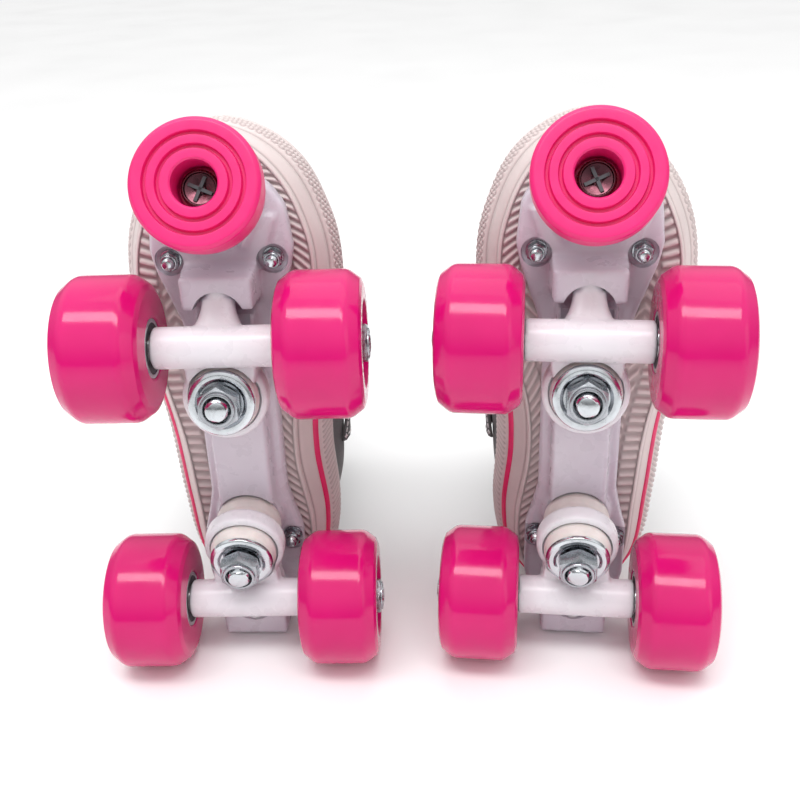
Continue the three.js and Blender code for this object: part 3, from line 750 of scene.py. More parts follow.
def wheel_skin():
    half, radius = WHEEL_HALF, WHEEL_RADIUS
    pocket = BEARING_RADIUS + 0.1
    return turned([
        [21.3, -half, 2.5], [23.6, -half + 0.9, 1.5], [radius, -half + 5.4, 5.5],
        [radius, half - 5.4, 5.5], [23.6, half - 0.9, 1.5], [21.3, half, 2.5],
        [16.6, half, 0.8], [14.8, half - 2.2, 1.0], [12.4, half - 3.2, 0.6], [12.0, half - 4.9, 0.3],
        [pocket, OUTER_BEARING[1], 0.1], [pocket, OUTER_BEARING[0] - 0.1, 0],
        [8, OUTER_BEARING[0] - 0.1, 0], [8, INNER_BEARING[1] + 0.1, 0],
        [pocket, INNER_BEARING[1] + 0.1, 0], [pocket, INNER_BEARING[0], 0.1], [12.0, -half, 0.3],
    ], segments=128, steps=6)


MARK_RINGS = ((19.6, 3.4, 0.3, 1.5), (18.3, 5.1, 0.34, 0.35))  # radius, spacing, thickness, length


def print_marks(side, end, edge):
    """Rings of little printed dashes and dots on the outer face, sunk all but their tops."""
    angles = np.arange(180) * 2 * math.pi / 180
    m = np.array(at_wheel(end, edge))
    for i, (radius, spacing, thick, long) in enumerate(MARK_RINGS):
        ring = np.column_stack([radius * np.cos(angles), radius * np.sin(angles),
                                np.full(180, WHEEL_HALF - thick + 0.07)])
        row_of(f"{end}_{edge}_print_{i}", [ring @ m[:3, :3].T + m[:3, 3]], side, f"{end}_{edge}_wheel",
               LOOKS["print"], spacing, thick, long, closed=True)


def bearing_races(low, high):
    outer = turned([[BEARING_RADIUS, low, 0.4], [BEARING_RADIUS, high, 0.4], [9.4, high, 0.25],
                    [9.4, low, 0.25]], 72, 3)
    inner = turned([[6.0, low, 0.25], [6.0, high, 0.25], [4.1, high, 0.3], [4.1, low, 0.3]], 60, 3)
    return [outer, inner]


def bearing_shields(low, high):
    shields = []
    for face, inwards in ((high - 0.35, -1), (low + 0.35, 1)):
        a, b = sorted((face, face + inwards * 0.8))
        rim = face - inwards * 0.12
        shields.append(turned([[9.38, a, 0], [9.38, b, 0], [6.05, b, 0], [6.05, a, 0]], 72, 1))
        low_rim, high_rim = sorted((rim, face))
        shields.append(turned([[8.9, low_rim, 0], [8.9, high_rim, 0], [8.3, high_rim, 0], [8.3, low_rim, 0]],
                              72, 1))
    return shields


def make_wheels(side):
    wheel = wheel_skin()
    races = bearing_races(*INNER_BEARING) + bearing_races(*OUTER_BEARING)
    start, end = INNER_BEARING[1], OUTER_BEARING[0]
    races.append(turned([[5.8, start, 0], [5.8, end, 0], [4.2, end, 0], [4.2, start, 0]], 48, 1))
    shields = bearing_shields(*INNER_BEARING) + bearing_shields(*OUTER_BEARING)
    for end in ENDS:
        for edge in EDGES:
            place = at_wheel(end, edge)
            key = f"{end}_{edge}"
            body = f"{key}_wheel"
            settle(f"{key}_tyre", wheel.placed(place), side, body, LOOKS["urethane"], 30,
                   [f"{key}_wheel"])
            print_marks(side, end, edge)
            settle(f"{key}_races", joined(races).placed(place), side, body, LOOKS["chrome"], 30,
                   [f"{key}_bearings"])
            settle(f"{key}_shields", joined(shields).placed(place), side, body, LOOKS["shield"], 30)


# ---------------------------------------------------------------- axles

NUT_SEAT = HALF_TRACK + OUTER_BEARING[1]


def make_axle(side, end):
    place = at_end(end) @ about_y(math.pi / 2)
    tip = NUT_SEAT + 7.1
    steel = [rod(AXLE_RADIUS - 0.15, -NUT_SEAT, NUT_SEAT, 40)]
    nuts, inserts, washers = [], [], []
    for way in (0, math.pi):
        turn = about_y(way)
        steel.append(thread(AXLE_RADIUS, -tip, -NUT_SEAT + 1.0).placed(turn))
        nut = hex_nut(13, -NUT_SEAT - 6.0, -NUT_SEAT - 0.75, AXLE_RADIUS + 0.1)
        collar = turned([[5.6, -NUT_SEAT - 6.6, 0.5], [5.6, -NUT_SEAT - 5.7, 0], [4.9, -NUT_SEAT - 5.7, 0],
                         [4.9, -NUT_SEAT - 6.6, 0.2]], 60, 4)
        nuts += [nut.placed(turn), collar.placed(turn)]
        ring = turned([[4.88, -NUT_SEAT - 6.45, 0.2], [4.88, -NUT_SEAT - 5.6, 0], [4.0, -NUT_SEAT - 5.6, 0],
                       [4.0, -NUT_SEAT - 6.45, 0.2]], 48, 3)
        inserts.append(ring.placed(turn))
        washer = turned([[5.9, -NUT_SEAT - 0.7, 0.15], [5.9, -NUT_SEAT - 0.08, 0.15], [4.1, -NUT_SEAT - 0.08, 0],
                         [4.1, -NUT_SEAT - 0.7, 0]], 48, 2)
        washers.append(washer.placed(turn))
    body = f"{end}_truck"
    settle(f"{end}_axle_rod", joined(steel + washers).placed(place), side, body, LOOKS["zinc"], 40,
           [f"{end}_axle"])
    settle(f"{end}_axle_nuts", joined(nuts).placed(place), side, body, LOOKS["nut"], 24)
    settle(f"{end}_nut_inserts", joined(inserts).placed(place), side, body, LOOKS["insert"], 30)


# ---------------------------------------------------------------- trucks

TUBE_RADIUS = 7.75
RING_RADIUS = 16.25
RING_HALF = 4.0
RING_WEB = 1.7
CUP_RADIUS = 13.9
PIVOT_REACH = 36.8
KINGPIN_RADIUS = 4.75
TUBE_HALF = HALF_TRACK + INNER_BEARING[0] - 0.3


def make_hanger(side, end):
    """Axle tube, kingpin ring and a waisted neck that sweeps out of the tube to the pivot."""
    pin = on_kingpin(end)
    axle = at_end(end) @ about_y(math.pi / 2)
    drop = (axle.inverted() @ pin).inverted().translation  # the axle's middle in the ring's frame
    lumps = [rod(TUBE_RADIUS, -TUBE_HALF, TUBE_HALF).placed(axle)]
    lumps.append(knob([[RING_RADIUS, -RING_HALF, 1.2], [RING_RADIUS, RING_HALF, 1.2]]).placed(pin))
    neck = []
    for along in np.linspace(0, 1, 12):
        y = drop.y + along * (PIVOT_REACH + 0.8 - drop.y)
        half = 6.0 + 9.5 * (1 - along) ** 2.4
        z = drop.z * (1 - along) ** 1.2
        thick = 4.6 + 2.4 * (1 - along)
        ring = [[half * math.copysign(abs(math.cos(a)) ** 0.7, math.cos(a)), y,
                 z + thick * math.copysign(abs(math.sin(a)) ** 0.7, math.sin(a))]
                for a in np.arange(32) * 2 * math.pi / 32]
        neck.append(ring[::-1])
    lumps.append(sheet_of(np.array(neck), round_columns=True, caps=(True, True)).placed(pin))
    root = [[-12.5, 6], [12.5, 6], [14.5, drop.y + 2], [-14.5, drop.y + 2]]
    lumps.append(prism(root, drop.z + 1, 2.6).placed(pin))
    tip = rod(4.5, PIVOT_REACH - 4, PIVOT_REACH + 7, 32)
    lumps.append(tip.placed(pin @ about_x(-math.pi / 2)))
    cuts = [
        rod(7.5, -14, 14).placed(pin),
        knob([[CUP_RADIUS, -30, 0], [CUP_RADIUS, -RING_WEB, 0.8]]).placed(pin),
        knob([[CUP_RADIUS, RING_WEB, 0.8], [CUP_RADIUS, 30, 0]]).placed(pin),
        rod(AXLE_RADIUS + 0.2, -HALF_TRACK, HALF_TRACK).placed(axle),
    ]
    hanger = moulded(f"{side}_{end}_hanger_casting", lumps, side, 0.75, 7, cuts)
    ride_on(hanger, side, f"{end}_truck", LOOKS["casting"], [f"{end}_hanger"])


def make_kingpin(side, end):
    pin = on_kingpin(end)
    body = "chassis"
    shaft = [thread(KINGPIN_RADIUS - 0.5, -21.2, -9, 1.5, 0.7), rod(KINGPIN_RADIUS - 0.1, -9.2, 23)]
    settle(f"{end}_kingpin_bolt", joined(shaft).placed(pin), side, body, LOOKS["zinc"], 40,
           [f"{end}_kingpin"])
    nut = [hex_nut(14.3, -18.4, -12.1, KINGPIN_RADIUS + 0.1),
           turned([[6.4, -19.4, 0.6], [6.4, -18.0, 0], [5.2, -18.0, 0], [5.2, -19.4, 0.2]], 60, 4)]
    settle(f"{end}_lock_nut", joined(nut).placed(pin), side, body, LOOKS["nut"], 24,
           [f"{end}_kingpin_nut"])
    washer = turned([[8.4, -11.1, 0.6], [9.6, -11.75, 0.8], [11.0, -11.75, 1.0], [12.4, -11.2, 0.9],
                     [12.6, -9.7, 0.3], [12.0, -9.7, 0.3], [11.8, -10.4, 0.4], [10.6, -10.7, 0.4],
                     [5.0, -10.1, 0], [5.0, -11.1, 0.2]], 96, 5)
    settle(f"{end}_cup_washer", washer.placed(pin), side, body, LOOKS["zinc"], 30,
           [f"{end}_washer"])
    lower = turned([[11.6, -9.6, 1.2], [12.6, -8.0, 2], [13.3, -5.4, 3], [12.9, -2.2, 1.0], [5.1, -2.2, 0],
                    [5.1, -9.6, 0]], 72, 4)
    upper = turned([[12.9, 1.9, 1.0], [13.6, 5.2, 3], [12.7, 8.4, 3], [13.6, 11.6, 3], [12.9, 15.1, 1.0],
                    [5.1, 15.1, 0], [5.1, 1.9, 0]], 72, 4)
    for name, skin, held, tilting in (("lower", lower, -8.6, -3.2), ("upper", upper, 13.5, 3.2)):
        bushing = new_object(f"{side}_{end}_{name}_bushing", mesh_of(f"{side}_{end}_{name}_bushing",
                                                                     skin.placed(pin), side, 40))
        bushing.data.materials.append(LOOKS["cushion"])
        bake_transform(bushing)
        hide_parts(f"{side}_{end}_{name}_cushion")


# ---------------------------------------------------------------- plate

SOLE_Z = AXLE_Z + 33
PLATE_TOP = SOLE_Z - 0.3
SLAB_Z = PLATE_TOP - 7.7
SPINE_Z = SLAB_Z - 8
FRONT_BOLTS = (19.3, AXLE_Y + 24.5)
REAR_BOLTS = (16.5, -AXLE_Y + 12.5)
PLATE_EDGE = [  # half width, and y from the front axle (front half) or the rear axle (rear half)
    (11.5, AXLE_Y + 57.5), (20.0, AXLE_Y + 51.5), (25.3, AXLE_Y + 43.5), (27.0, AXLE_Y + 27.5),
    (25.3, AXLE_Y + 19.5), (18.3, AXLE_Y - 1), (16.0, AXLE_Y - 16), (16.0, -AXLE_Y + 36),
    (18.1, -AXLE_Y + 26), (21.0, -AXLE_Y + 15.5), (21.0, -AXLE_Y - 6), (17.8, -AXLE_Y - 20),
    (11.5, -AXLE_Y - 25),
]


def plate_outline(inset=0.0):
    right = [(x - inset, y - inset * (1 if i == 0 else -1 if i == len(PLATE_EDGE) - 1 else 0))
             for i, (x, y) in enumerate(PLATE_EDGE)]
    left = [(-x, y) for x, y in reversed(right)]
    clockwise = right + left
    return [[x, y, 9] for x, y in clockwise[::-1]]


def tapered(outline_low, outline_high, low, high):
    grid = np.empty((2, len(outline_low), 3))
    grid[0, :, :2], grid[1, :, :2] = outline_low, outline_high
    grid[0, :, 2], grid[1, :, 2] = low, high
    return sheet_of(grid, round_columns=True, caps=(True, True))


def block(x0, x1, y0, y1, z0, z1, taper=0.0):
    low = [[x0 + taper, y0 + taper], [x1 - taper, y0 + taper], [x1 - taper, y1 - taper],
           [x0 + taper, y1 - taper]]
    high = [[x0, y0], [x1, y0], [x1, y1], [x0, y1]]
    return tapered(low, high, z0, z1)


def housing_lumps(end):
    """The boss over the kingpin and the arched housing of the pivot."""
    pin, truck = on_kingpin(end), at_end(end)
    reach = 24.5 if end == "front" else 26.3
    flare = block(-14.5, 14.5, 9.5, reach, SPINE_Z - 9.2 - AXLE_Z, PLATE_TOP - AXLE_Z - 1, 1.2)
    lumps = [rod(14, 15.3, 24).placed(pin), flare.placed(truck)]
    if end == "front":
        slope = [[-15.5, reach - 3], [15.5, reach - 3], [22, reach + 17], [-22, reach + 17]]
        lumps.append(tapered(slope, slope, SLAB_Z - 2.2 - AXLE_Z, PLATE_TOP - AXLE_Z - 1).placed(truck))
    return lumps


def housing_cuts(end):
    pin = on_kingpin(end)
    half = 9.75
    round_y = PIVOT_REACH + 3.4 - half
    arch = [[-half, 6], [half, 6]]
    arch += [[half * math.cos(a), round_y + half * math.sin(a)] for a in np.linspace(0, math.pi, 17)]
    socket = rod(4.7, PIVOT_REACH - 3, PIVOT_REACH + 7.3, 32).placed(pin @ about_x(-math.pi / 2))
    return [prism(arch, -20, 8.5).placed(pin), rod(14.4, -2, 15.3).placed(pin),
            rod(KINGPIN_RADIUS + 0.2, 10, 23.3, 32).placed(pin), socket]


def make_plate(side):
    outline = rounded(plate_outline())
    inner = rounded(plate_outline(1.1))
    lumps = [tapered(inner, outline, SLAB_Z, SLAB_Z + 1.6), prism(outline, SLAB_Z + 1.6, PLATE_TOP)]
    lumps.append(block(-12.5, 12.5, -AXLE_Y + 6, AXLE_Y + 6, SPINE_Z, PLATE_TOP - 1, 1.5))
    for end in ENDS:
        lumps += housing_lumps(end)
    boss = rod(11.5, 18.3, 34)
    lumps.append(boss.placed(on_toe_stop()))
    for turn in (-1, 1):
        rib = block(-1.4, 1.4, -13, 7, SLAB_Z - 4.5, PLATE_TOP - 1, 0.4)
        lumps.append(rib.placed(moved(turn * 14.5, AXLE_Y + 41, 0) @ about_z(turn * math.radians(-28))))
    cuts = [rod(4.2, 0, 32, 32).placed(on_toe_stop())]
    for x, y in (FRONT_BOLTS, REAR_BOLTS):
        for turn in (-1, 1):
            pocket = knob([[5.8, SLAB_Z - 20, 0], [5.8, SLAB_Z + 2.2, 0.6]])
            cuts.append(pocket.placed(moved(turn * x, y, 0)))
    for end in ENDS:
        cuts += housing_cuts(end)
    top = block(-60, 60, -150, 150, PLATE_TOP, PLATE_TOP + 40)
    plate = moulded(f"{side}_plate_moulding", lumps, side, 0.95, 6, cuts + [top])
    # Its nylon is set darker than the hangers' as painted shade.
    ride_on(plate, side, "chassis", LOOKS["nylon"], ["plate"])


def make_plate_bolts(side):
    nuts, tips = [], []
    for x, y in (FRONT_BOLTS, REAR_BOLTS):
        for turn in (-1, 1):
            place = moved(turn * x, y, SLAB_Z + 2.3)
            washer = turned([[4.1, -0.9, 0.25], [4.1, 0, 0], [2.4, 0, 0], [2.4, -0.9, 0]], 48, 3)
            nut = hex_nut(6.6, -4.2, -0.95, 2.35, 60)
            collar = turned([[3.1, -5.2, 0.45], [3.1, -4.0, 0], [2.3, -4.0, 0], [2.3, -5.2, 0.2]], 48, 3)
            nuts += [part.placed(place) for part in (washer, nut, collar)]
            tips.append(thread(2.25, -7.6, -0.5, 0.8, 0.3, 28).placed(place))
    settle("plate_nuts", joined(nuts), side, "chassis", LOOKS["nut"], 24)
    settle("plate_bolt_tips", joined(tips), side, "chassis", LOOKS["zinc"], 40)


# ---------------------------------------------------------------- toe stop

def make_toe_stop(side):
    place = on_toe_stop()
    stop = turned([
        [21.2, 0, 1.2], [22.5, 1.4, 1.5], [22.5, 9, 2], [21.4, 16.6, 2.5], [19.0, 18, 1.5], [4.2, 18, 0],
        [4.2, 13, 0], [8.0, 13, 0.8], [8.0, 0.6, 0], [8.6, 0, 0.4],
        [11.5, 0, 0.25], [11.8, 1.7, 0.3], [12.9, 1.7, 0.3], [13.2, 0, 0.25],
        [16.0, 0, 0.25], [16.3, 1.7, 0.3], [17.4, 1.7, 0.3], [17.7, 0, 0.25],
    ], 144, 5)
    settle("stop_rubber", stop.placed(place), side, "chassis", LOOKS["stop"], 28,
           ["toe_stop"])
    head = turned([[6.6, 9.2, 1.2], [6.6, 12.7, 0.3], [0.9, 12.7, 0], [0.9, 11.0, 0.2], [5.3, 9.9, 0.2],
                   [5.6, 8.9, 0.3]], 60, 4)
    wings = [block(-0.7, 0.7, -4.6, 4.6, 9.6, 10.9, 0.1), block(-4.6, 4.6, -0.7, 0.7, 9.6, 10.9, 0.1)]
    shank = rod(3.9, 12.5, 28)
    skin = joined([head, shank, rod(1.6, 10.6, 12.8, 24)]).placed(place)
    # The screw's dark pink colour is painted shade and painted reflection.
    settle("stop_screw", skin, side, "chassis", LOOKS["screw"], 30, ["toe_stop_bolt"])
    # The dark cross in the screw's dished head is painted shade for the cross recess, drawn as raised blocks, not
    # cut.
    cross = joined([wing.placed(about_z(math.radians(24))) for wing in wings]).placed(place)
    settle("stop_screw_cross", cross, side, "chassis", LOOKS["slot"], 30)


def make_chassis(side):
    make_plate(side)
    make_plate_bolts(side)
    make_toe_stop(side)
    make_wheels(side)
    for end in ENDS:
        make_axle(side, end)
        make_hanger(side, end)
        make_kingpin(side, end)


# ---------------------------------------------------------------- sole

SOLE_BACK = -83.3
SOLE_LENGTH = 211
SOLE_HALF_WIDTH = 42.5
SOLE_THICKNESS = 24
UNDERFOOT_INSET = 0.008
# Round the sole from the toe by the inner side: share of the length from the heel, then the sideways
# place at the underside and at the top edge as shares of the half width.
SOLE_OUTLINE = np.array([
    (1, -0.04, -0.04), (0.975, -0.3, -0.4), (0.925, -0.54, -0.69), (0.855, -0.71, -0.87),
    (0.76, -0.8, -0.99), (0.62, -0.74, -0.98), (0.465, -0.53, -0.83), (0.34, -0.495, -0.79),
    (0.2, -0.59, -0.82), (0.095, -0.54, -0.72), (0.025, -0.33, -0.43), (0, -0.02, -0.02),
    (0.025, 0.31, 0.41), (0.105, 0.52, 0.7), (0.24, 0.575, 0.79), (0.395, 0.635, 0.84),
    (0.53, 0.75, 0.93), (0.655, 0.84, 1), (0.77, 0.83, 0.97), (0.86, 0.69, 0.82),
    (0.935, 0.45, 0.55), (0.985, 0.18, 0.24),
])
# Up the sole's edge: height above the underside, flare from the underside to the top outline, bulge.
SOLE_EDGE = np.array([
    (0, 0, -1.2), (0.35, 0, -0.35), (1.2, 0.01, 0), (2.6, 0.04, 0.1), (3.0, 0.05, -0.9), (3.4, 0.06, -0.9),
    (3.8, 0.07, 0.4), (5.4, 0.12, 0.7), (8.0, 0.36, 0.6), (10.4, 0.54, 0.2), (10.9, 0.58, -0.3),
    (11.2, 0.61, 0.5), (13.5, 0.76, 0.6), (17, 0.94, 0.6), (20, 1, 0.5), (20.4, 1, 0.1), (20.9, 1, 0.1),
    (21.3, 1, 0.5), (23.2, 1, 0.5), (23.9, 1, 0.1), (24, 1, -0.6),
])


def round_curve(corners, turns):
    """A closed smooth curve through the corners, at places counted in corners."""
    base = np.floor(turns).astype(int)
    t = (turns - base)[:, None]
    count = len(corners)
    a, b, c, d = (corners[(base + step) % count] for step in (-1, 0, 1, 2))
    return 0.5 * (2 * b + (c - a) * t + (2 * a - 5 * b + 4 * c - d) * t ** 2 + (3 * b - a - 3 * c + d) * t ** 3)


def sole_rims(columns):
    """The underside and the top outline, at even distances round the top one, and those distances."""
    along, under, top = SOLE_OUTLINE.T
    shorter = UNDERFOOT_INSET + along * (1 - 2 * UNDERFOOT_INSET)
    low = np.stack([under * SOLE_HALF_WIDTH, SOLE_BACK + shorter * SOLE_LENGTH], axis=1)
    high = np.stack([top * SOLE_HALF_WIDTH, SOLE_BACK + along * SOLE_LENGTH], axis=1)
    fine = np.linspace(0, len(along), 6001)
    steps = np.linalg.norm(np.diff(round_curve(high, fine), axis=0), axis=1)
    gone = np.concatenate([[0], np.cumsum(steps)])
    places = np.arange(columns) * gone[-1] / columns
    turns = np.interp(places, gone, fine)
    return round_curve(low, turns), round_curve(high, turns), places


def outward(ring):
    """Unit vectors square to a flat closed ring, pointing out of it."""
    along = np.roll(ring, -1, axis=0) - np.roll(ring, 1, axis=0)
    square = np.stack([along[:, 1], -along[:, 0]], axis=1)
    return square / np.linalg.norm(square, axis=1)[:, None]


def pulse(x, share, soft=0.22):
    """1 over a share of each whole turn of x and 0 over the rest, with soft flanks."""
    distance = np.abs((x % 1) - 0.5)
    return np.clip((share / 2 + soft / 2 - distance) / soft, 0, 1)


def tread_height(s, inset, x, y):
    """How far the tread stands down from the sole's floor, from 0 to 1."""
    slant = np.where(x < 0, 1.1, 0.15)
    bars = pulse((s + slant * inset) / 4.3, 0.52)
    border = np.clip((inset - 1.6) / 0.5, 0, 1) * np.clip((8.6 - inset) / 0.5, 0, 1)
    rim = np.clip((1.3 - inset) / 0.4, 0, 1)
    bend = y + 2.2 * np.abs(((x / 9) % 1) * 2 - 1) * 2
    waves = pulse(bend / 5.4, 0.42)
    centre = np.clip((inset - 9.6) / 0.5, 0, 1)
    return np.maximum(rim, np.maximum(border * bars, 0.8 * centre * waves))


def edge_texture(s, rise, y):
    """Raised print on the upper band of the sole's edge: diamonds round the toe, slanted cord behind."""
    band = np.clip((rise - 12.2) / 0.6, 0, 1) * np.clip((19.4 - rise) / 0.6, 0, 1)
    diamonds = np.minimum(pulse((s + 1.5 * rise) / 3.4, 0.62), pulse((s - 1.5 * rise) / 3.4, 0.62))
    cord = pulse((s + 0.9 * rise) / 2.6, 0.55)
    toe = np.clip((y - 62) / 6, 0, 1)
    return band * (toe * diamonds + (1 - toe) * cord)


def make_outsole(side):
    columns = 960
    low, high, s = sole_rims(columns)
    out_low = outward(low)
    floor_drop, texture_depth = 1.1, 0.8
    rows, sunk = [], []
    insets = np.concatenate([np.linspace(15, 9.5, 12), np.linspace(9, 1.4, 17), [1.2]])
    for inset in insets:
        ring = low - out_low * inset
        stand = tread_height(s, inset, ring[:, 0], ring[:, 1])
        z = SOLE_Z + floor_drop * (1 - stand)
        rows.append(np.column_stack([ring, z]))
        # Painted shade: the floor of the tread, sunk between its bars and waves, is darkened.
        sunk.append(0.5 * (1 - stand))
    rises = np.concatenate([SOLE_EDGE[:10, 0], np.linspace(10.9, 20, 30), SOLE_EDGE[15:, 0]])
    for rise in rises:
        flare = np.interp(rise, SOLE_EDGE[:, 0], SOLE_EDGE[:, 1])
        bulge = np.interp(rise, SOLE_EDGE[:, 0], SOLE_EDGE[:, 2])
        ring = low + (high - low) * flare
        print_up = edge_texture(s, rise, ring[:, 1])
        ring = ring + outward(ring) * (bulge + texture_depth * (print_up - 0.4))[:, None]
        ring[:, 1] = np.maximum(ring[:, 1], SOLE_BACK)
        rows.append(np.column_stack([ring, np.full(columns, SOLE_Z + rise)]))
        # Painted shade in the grooves round the edge and in the hollows between the printed diamonds and cord.
        groove = 1.0 if 2.9 < rise < 3.5 else 0.5 if abs(rise - 10.9) < 0.3 or abs(rise - 20.65) < 0.3 else 0
        band = 0.45 if 12.5 < rise < 19.5 else 0
        sunk.append(np.maximum(np.full(columns, groove), band * (1 - print_up)))
    grid = np.array(rows)
    across = np.concatenate([-insets, rises])
    skin = sheet_of(grid, round_columns=True, caps=(True, True),
                    flat=lambda r, c: (float(s[c % columns]), float(across[min(r, len(across) - 1)])))
    sole = settle("sole_unit", skin, side, "chassis", LOOKS["sole"], 180, ["outsole"])
    # The sunk attribute carries this painted shade, also at the underside's middle, to the sole's material.
    shade = sole.data.attributes.new("sunk", "FLOAT", "POINT")
    values = np.concatenate([np.concatenate(sunk), [0.4, 0]])
    shade.data.foreach_set("value", values.astype(np.float32))


def make_pinstripe(side):
    """A thin line in hot pink round the sole's edge, from arch to arch by the heel."""
    columns = 720
    low, high, _ = sole_rims(columns)
    rows = []
    for rise, lift in ((9.0, 0.2), (9.15, 1.1), (10.35, 1.1), (10.5, 0.2)):
        flare = np.interp(rise, SOLE_EDGE[:, 0], SOLE_EDGE[:, 1])
        ring = low + (high - low) * flare
        ring = ring + outward(ring) * lift
        ring[:, 1] = np.maximum(ring[:, 1], SOLE_BACK)
        rows.append(np.column_stack([ring, np.full(columns, SOLE_Z + rise)]))
    grid = np.array(rows)
    behind = grid[0, :, 1] < 38
    first = int(np.argmax(behind))
    last = columns - int(np.argmax(behind[::-1]))
    strip = grid[:, first:last].transpose(1, 0, 2)[::-1]
    settle("sole_pinstripe", sheet_of(strip, round_columns=True, caps=(True, True)), side, "chassis",
           LOOKS["line"], 60)


# ---------------------------------------------------------------- boot

UPPER_Z = SOLE_Z + SOLE_THICKNESS + 0.3
UPPER_HEIGHT = 106
UPPER_INSET = 1.5
UPPER_WALL = 3
TOE_SLOPE = 0.8
ANKLE_FILL = 0.86
THROAT_START = 0.36
THROAT_HALF_WIDTH = 11
STRAP_HEIGHTS = {"strap_lower": 0.47, "strap_upper": 0.86}
STRAP_SLOPE = math.radians(20)
STRAP_WIDTH = 22
STRAP_BACK = -22
# Share of the canvas height; front and back as shares of the sole's length; width as a share of the sole's.
BOOT_PROFILE = np.array([
    (0, 0.985, 0.012, 0.97), (0.1, 0.985, 0.008, 0.985), (0.2, 0.955, 0.008, 0.95), (0.28, 0.905, 0.01, 0.9),
    (0.36, 0.82, 0.016, 0.86), (0.44, 0.72, 0.024, 0.83), (0.53, 0.6, 0.034, 0.81), (0.63, 0.52, 0.042, 0.8),
    (0.76, 0.475, 0.045, 0.8), (0.9, 0.455, 0.04, 0.81), (1, 0.45, 0.034, 0.83),
])


def profile_at(share, column):
    """A column of the boot's profile, with its corners eased and carried on past the ends."""
    total = 0
    for step in np.linspace(-0.035, 0.035, 7):
        total = total + np.interp(share + step, BOOT_PROFILE[:, 0], BOOT_PROFILE[:, column])
    return total / 7


def smoothstep(x, low, high):
    t = np.clip((x - low) / (high - low), 0, 1)
    return t * t * (3 - 2 * t)


ARCH_BULGE = 6.5  # of the canvas on the inner side, over the waist of the sole
ARCH_ALONG, ARCH_SPAN = 0.42, 0.27
BOOT_COLUMNS = 360
_, BOOT_RIM, _ = sole_rims(BOOT_COLUMNS)


def boot_ring(share, inset=0.0):
    front, back, width = (profile_at(share, column) for column in (1, 2, 3))
    depth = inset + UPPER_INSET
    slope = 1 + TOE_SLOPE * math.sin(math.pi * min(1, max(0, (share - 0.05) / 0.6)))
    front_y = SOLE_BACK + front * SOLE_LENGTH - depth * slope
    back_y = SOLE_BACK + back * SOLE_LENGTH + depth
    oval = smoothstep(share, 0.15, 0.75)
    along = (BOOT_RIM[:, 1] - SOLE_BACK) / SOLE_LENGTH
    y = back_y + (front_y - back_y) * along
    round_x = np.sign(BOOT_RIM[:, 0]) * np.sqrt(np.clip(1 - (2 * along - 1) ** 2, 0, None))
    reach = width * SOLE_HALF_WIDTH - depth
    x = ((1 - oval) * BOOT_RIM[:, 0] / SOLE_HALF_WIDTH + oval * ANKLE_FILL * round_x) * reach
    arch = np.clip(1 - ((along - ARCH_ALONG) / ARCH_SPAN) ** 2, 0, None) * (BOOT_RIM[:, 0] < 0)
    x = x - ARCH_BULGE * arch * smoothstep(share, 0.0, 0.16) * (1 - smoothstep(share, 0.3, 0.6))
    return np.column_stack([x, y, np.full(BOOT_COLUMNS, UPPER_Z + share * UPPER_HEIGHT)])


BOOT_SHARES = np.linspace(-0.02, 1.1, 113)
BOOT_SKIN = np.array([boot_ring(share) for share in BOOT_SHARES])
_down = np.gradient(BOOT_SKIN, axis=0)
_round = (np.roll(BOOT_SKIN, -1, axis=1) - np.roll(BOOT_SKIN, 1, axis=1)) / 2
BOOT_OUT = np.cross(_round, _down)
BOOT_OUT /= np.linalg.norm(BOOT_OUT, axis=2)[..., None]


def on_boot(share, column, lift=0.0):
    """Points on the boot's outer shape: share of the height, and turns round it from the toe by the
    inner side. Both may be arrays; lift moves the points out."""
    share, column, lift = np.broadcast_arrays(np.asarray(share, float), np.asarray(column, float), lift)
    row = np.clip(np.interp(share, BOOT_SHARES, np.arange(len(BOOT_SHARES))), 0, len(BOOT_SHARES) - 1.001)
    place = (column % 1) * BOOT_COLUMNS
    r, c = row.astype(int), place.astype(int) % BOOT_COLUMNS
    u, v = (row - r)[..., None], (place - place.astype(int))[..., None]
    c2 = (c + 1) % BOOT_COLUMNS

    def mixed(grid):
        return ((1 - u) * ((1 - v) * grid[r, c] + v * grid[r, c2])
                + u * ((1 - v) * grid[r + 1, c] + v * grid[r + 1, c2]))

    return mixed(BOOT_SKIN) + mixed(BOOT_OUT) * np.asarray(lift)[..., None]


def column_at(share, x):
    """The turn round the boot, near the front, where it passes a sideways place x."""
    turns = np.linspace(-0.16, 0.16, 161)
    places = on_boot(np.full(161, share), turns)[:, 0]
    return float(np.interp(-x, -places, turns))


def throat_half(share):
    """Half the width of the opening at a share of the height."""
    up = (share - THROAT_START) * UPPER_HEIGHT / THROAT_HALF_WIDTH
    if up <= 0:
        return 0.0
    return THROAT_HALF_WIDTH * (math.sqrt(1 - (1 - up) ** 2) if up < 1 else 1.0)


def open_column(share, f, margin=0.0):
    """From 0 at the throat's inner edge to 1 at its outer edge, by the heel."""
    half = throat_half(share)
    inner = column_at(share, -half - margin)
    outer = 1 + column_at(share, half + margin)
    return inner + np.asarray(f) * (outer - inner)


def lengths(points):
    steps = np.linalg.norm(np.diff(points, axis=0), axis=1)
    return np.concatenate([[0], np.cumsum(steps)])


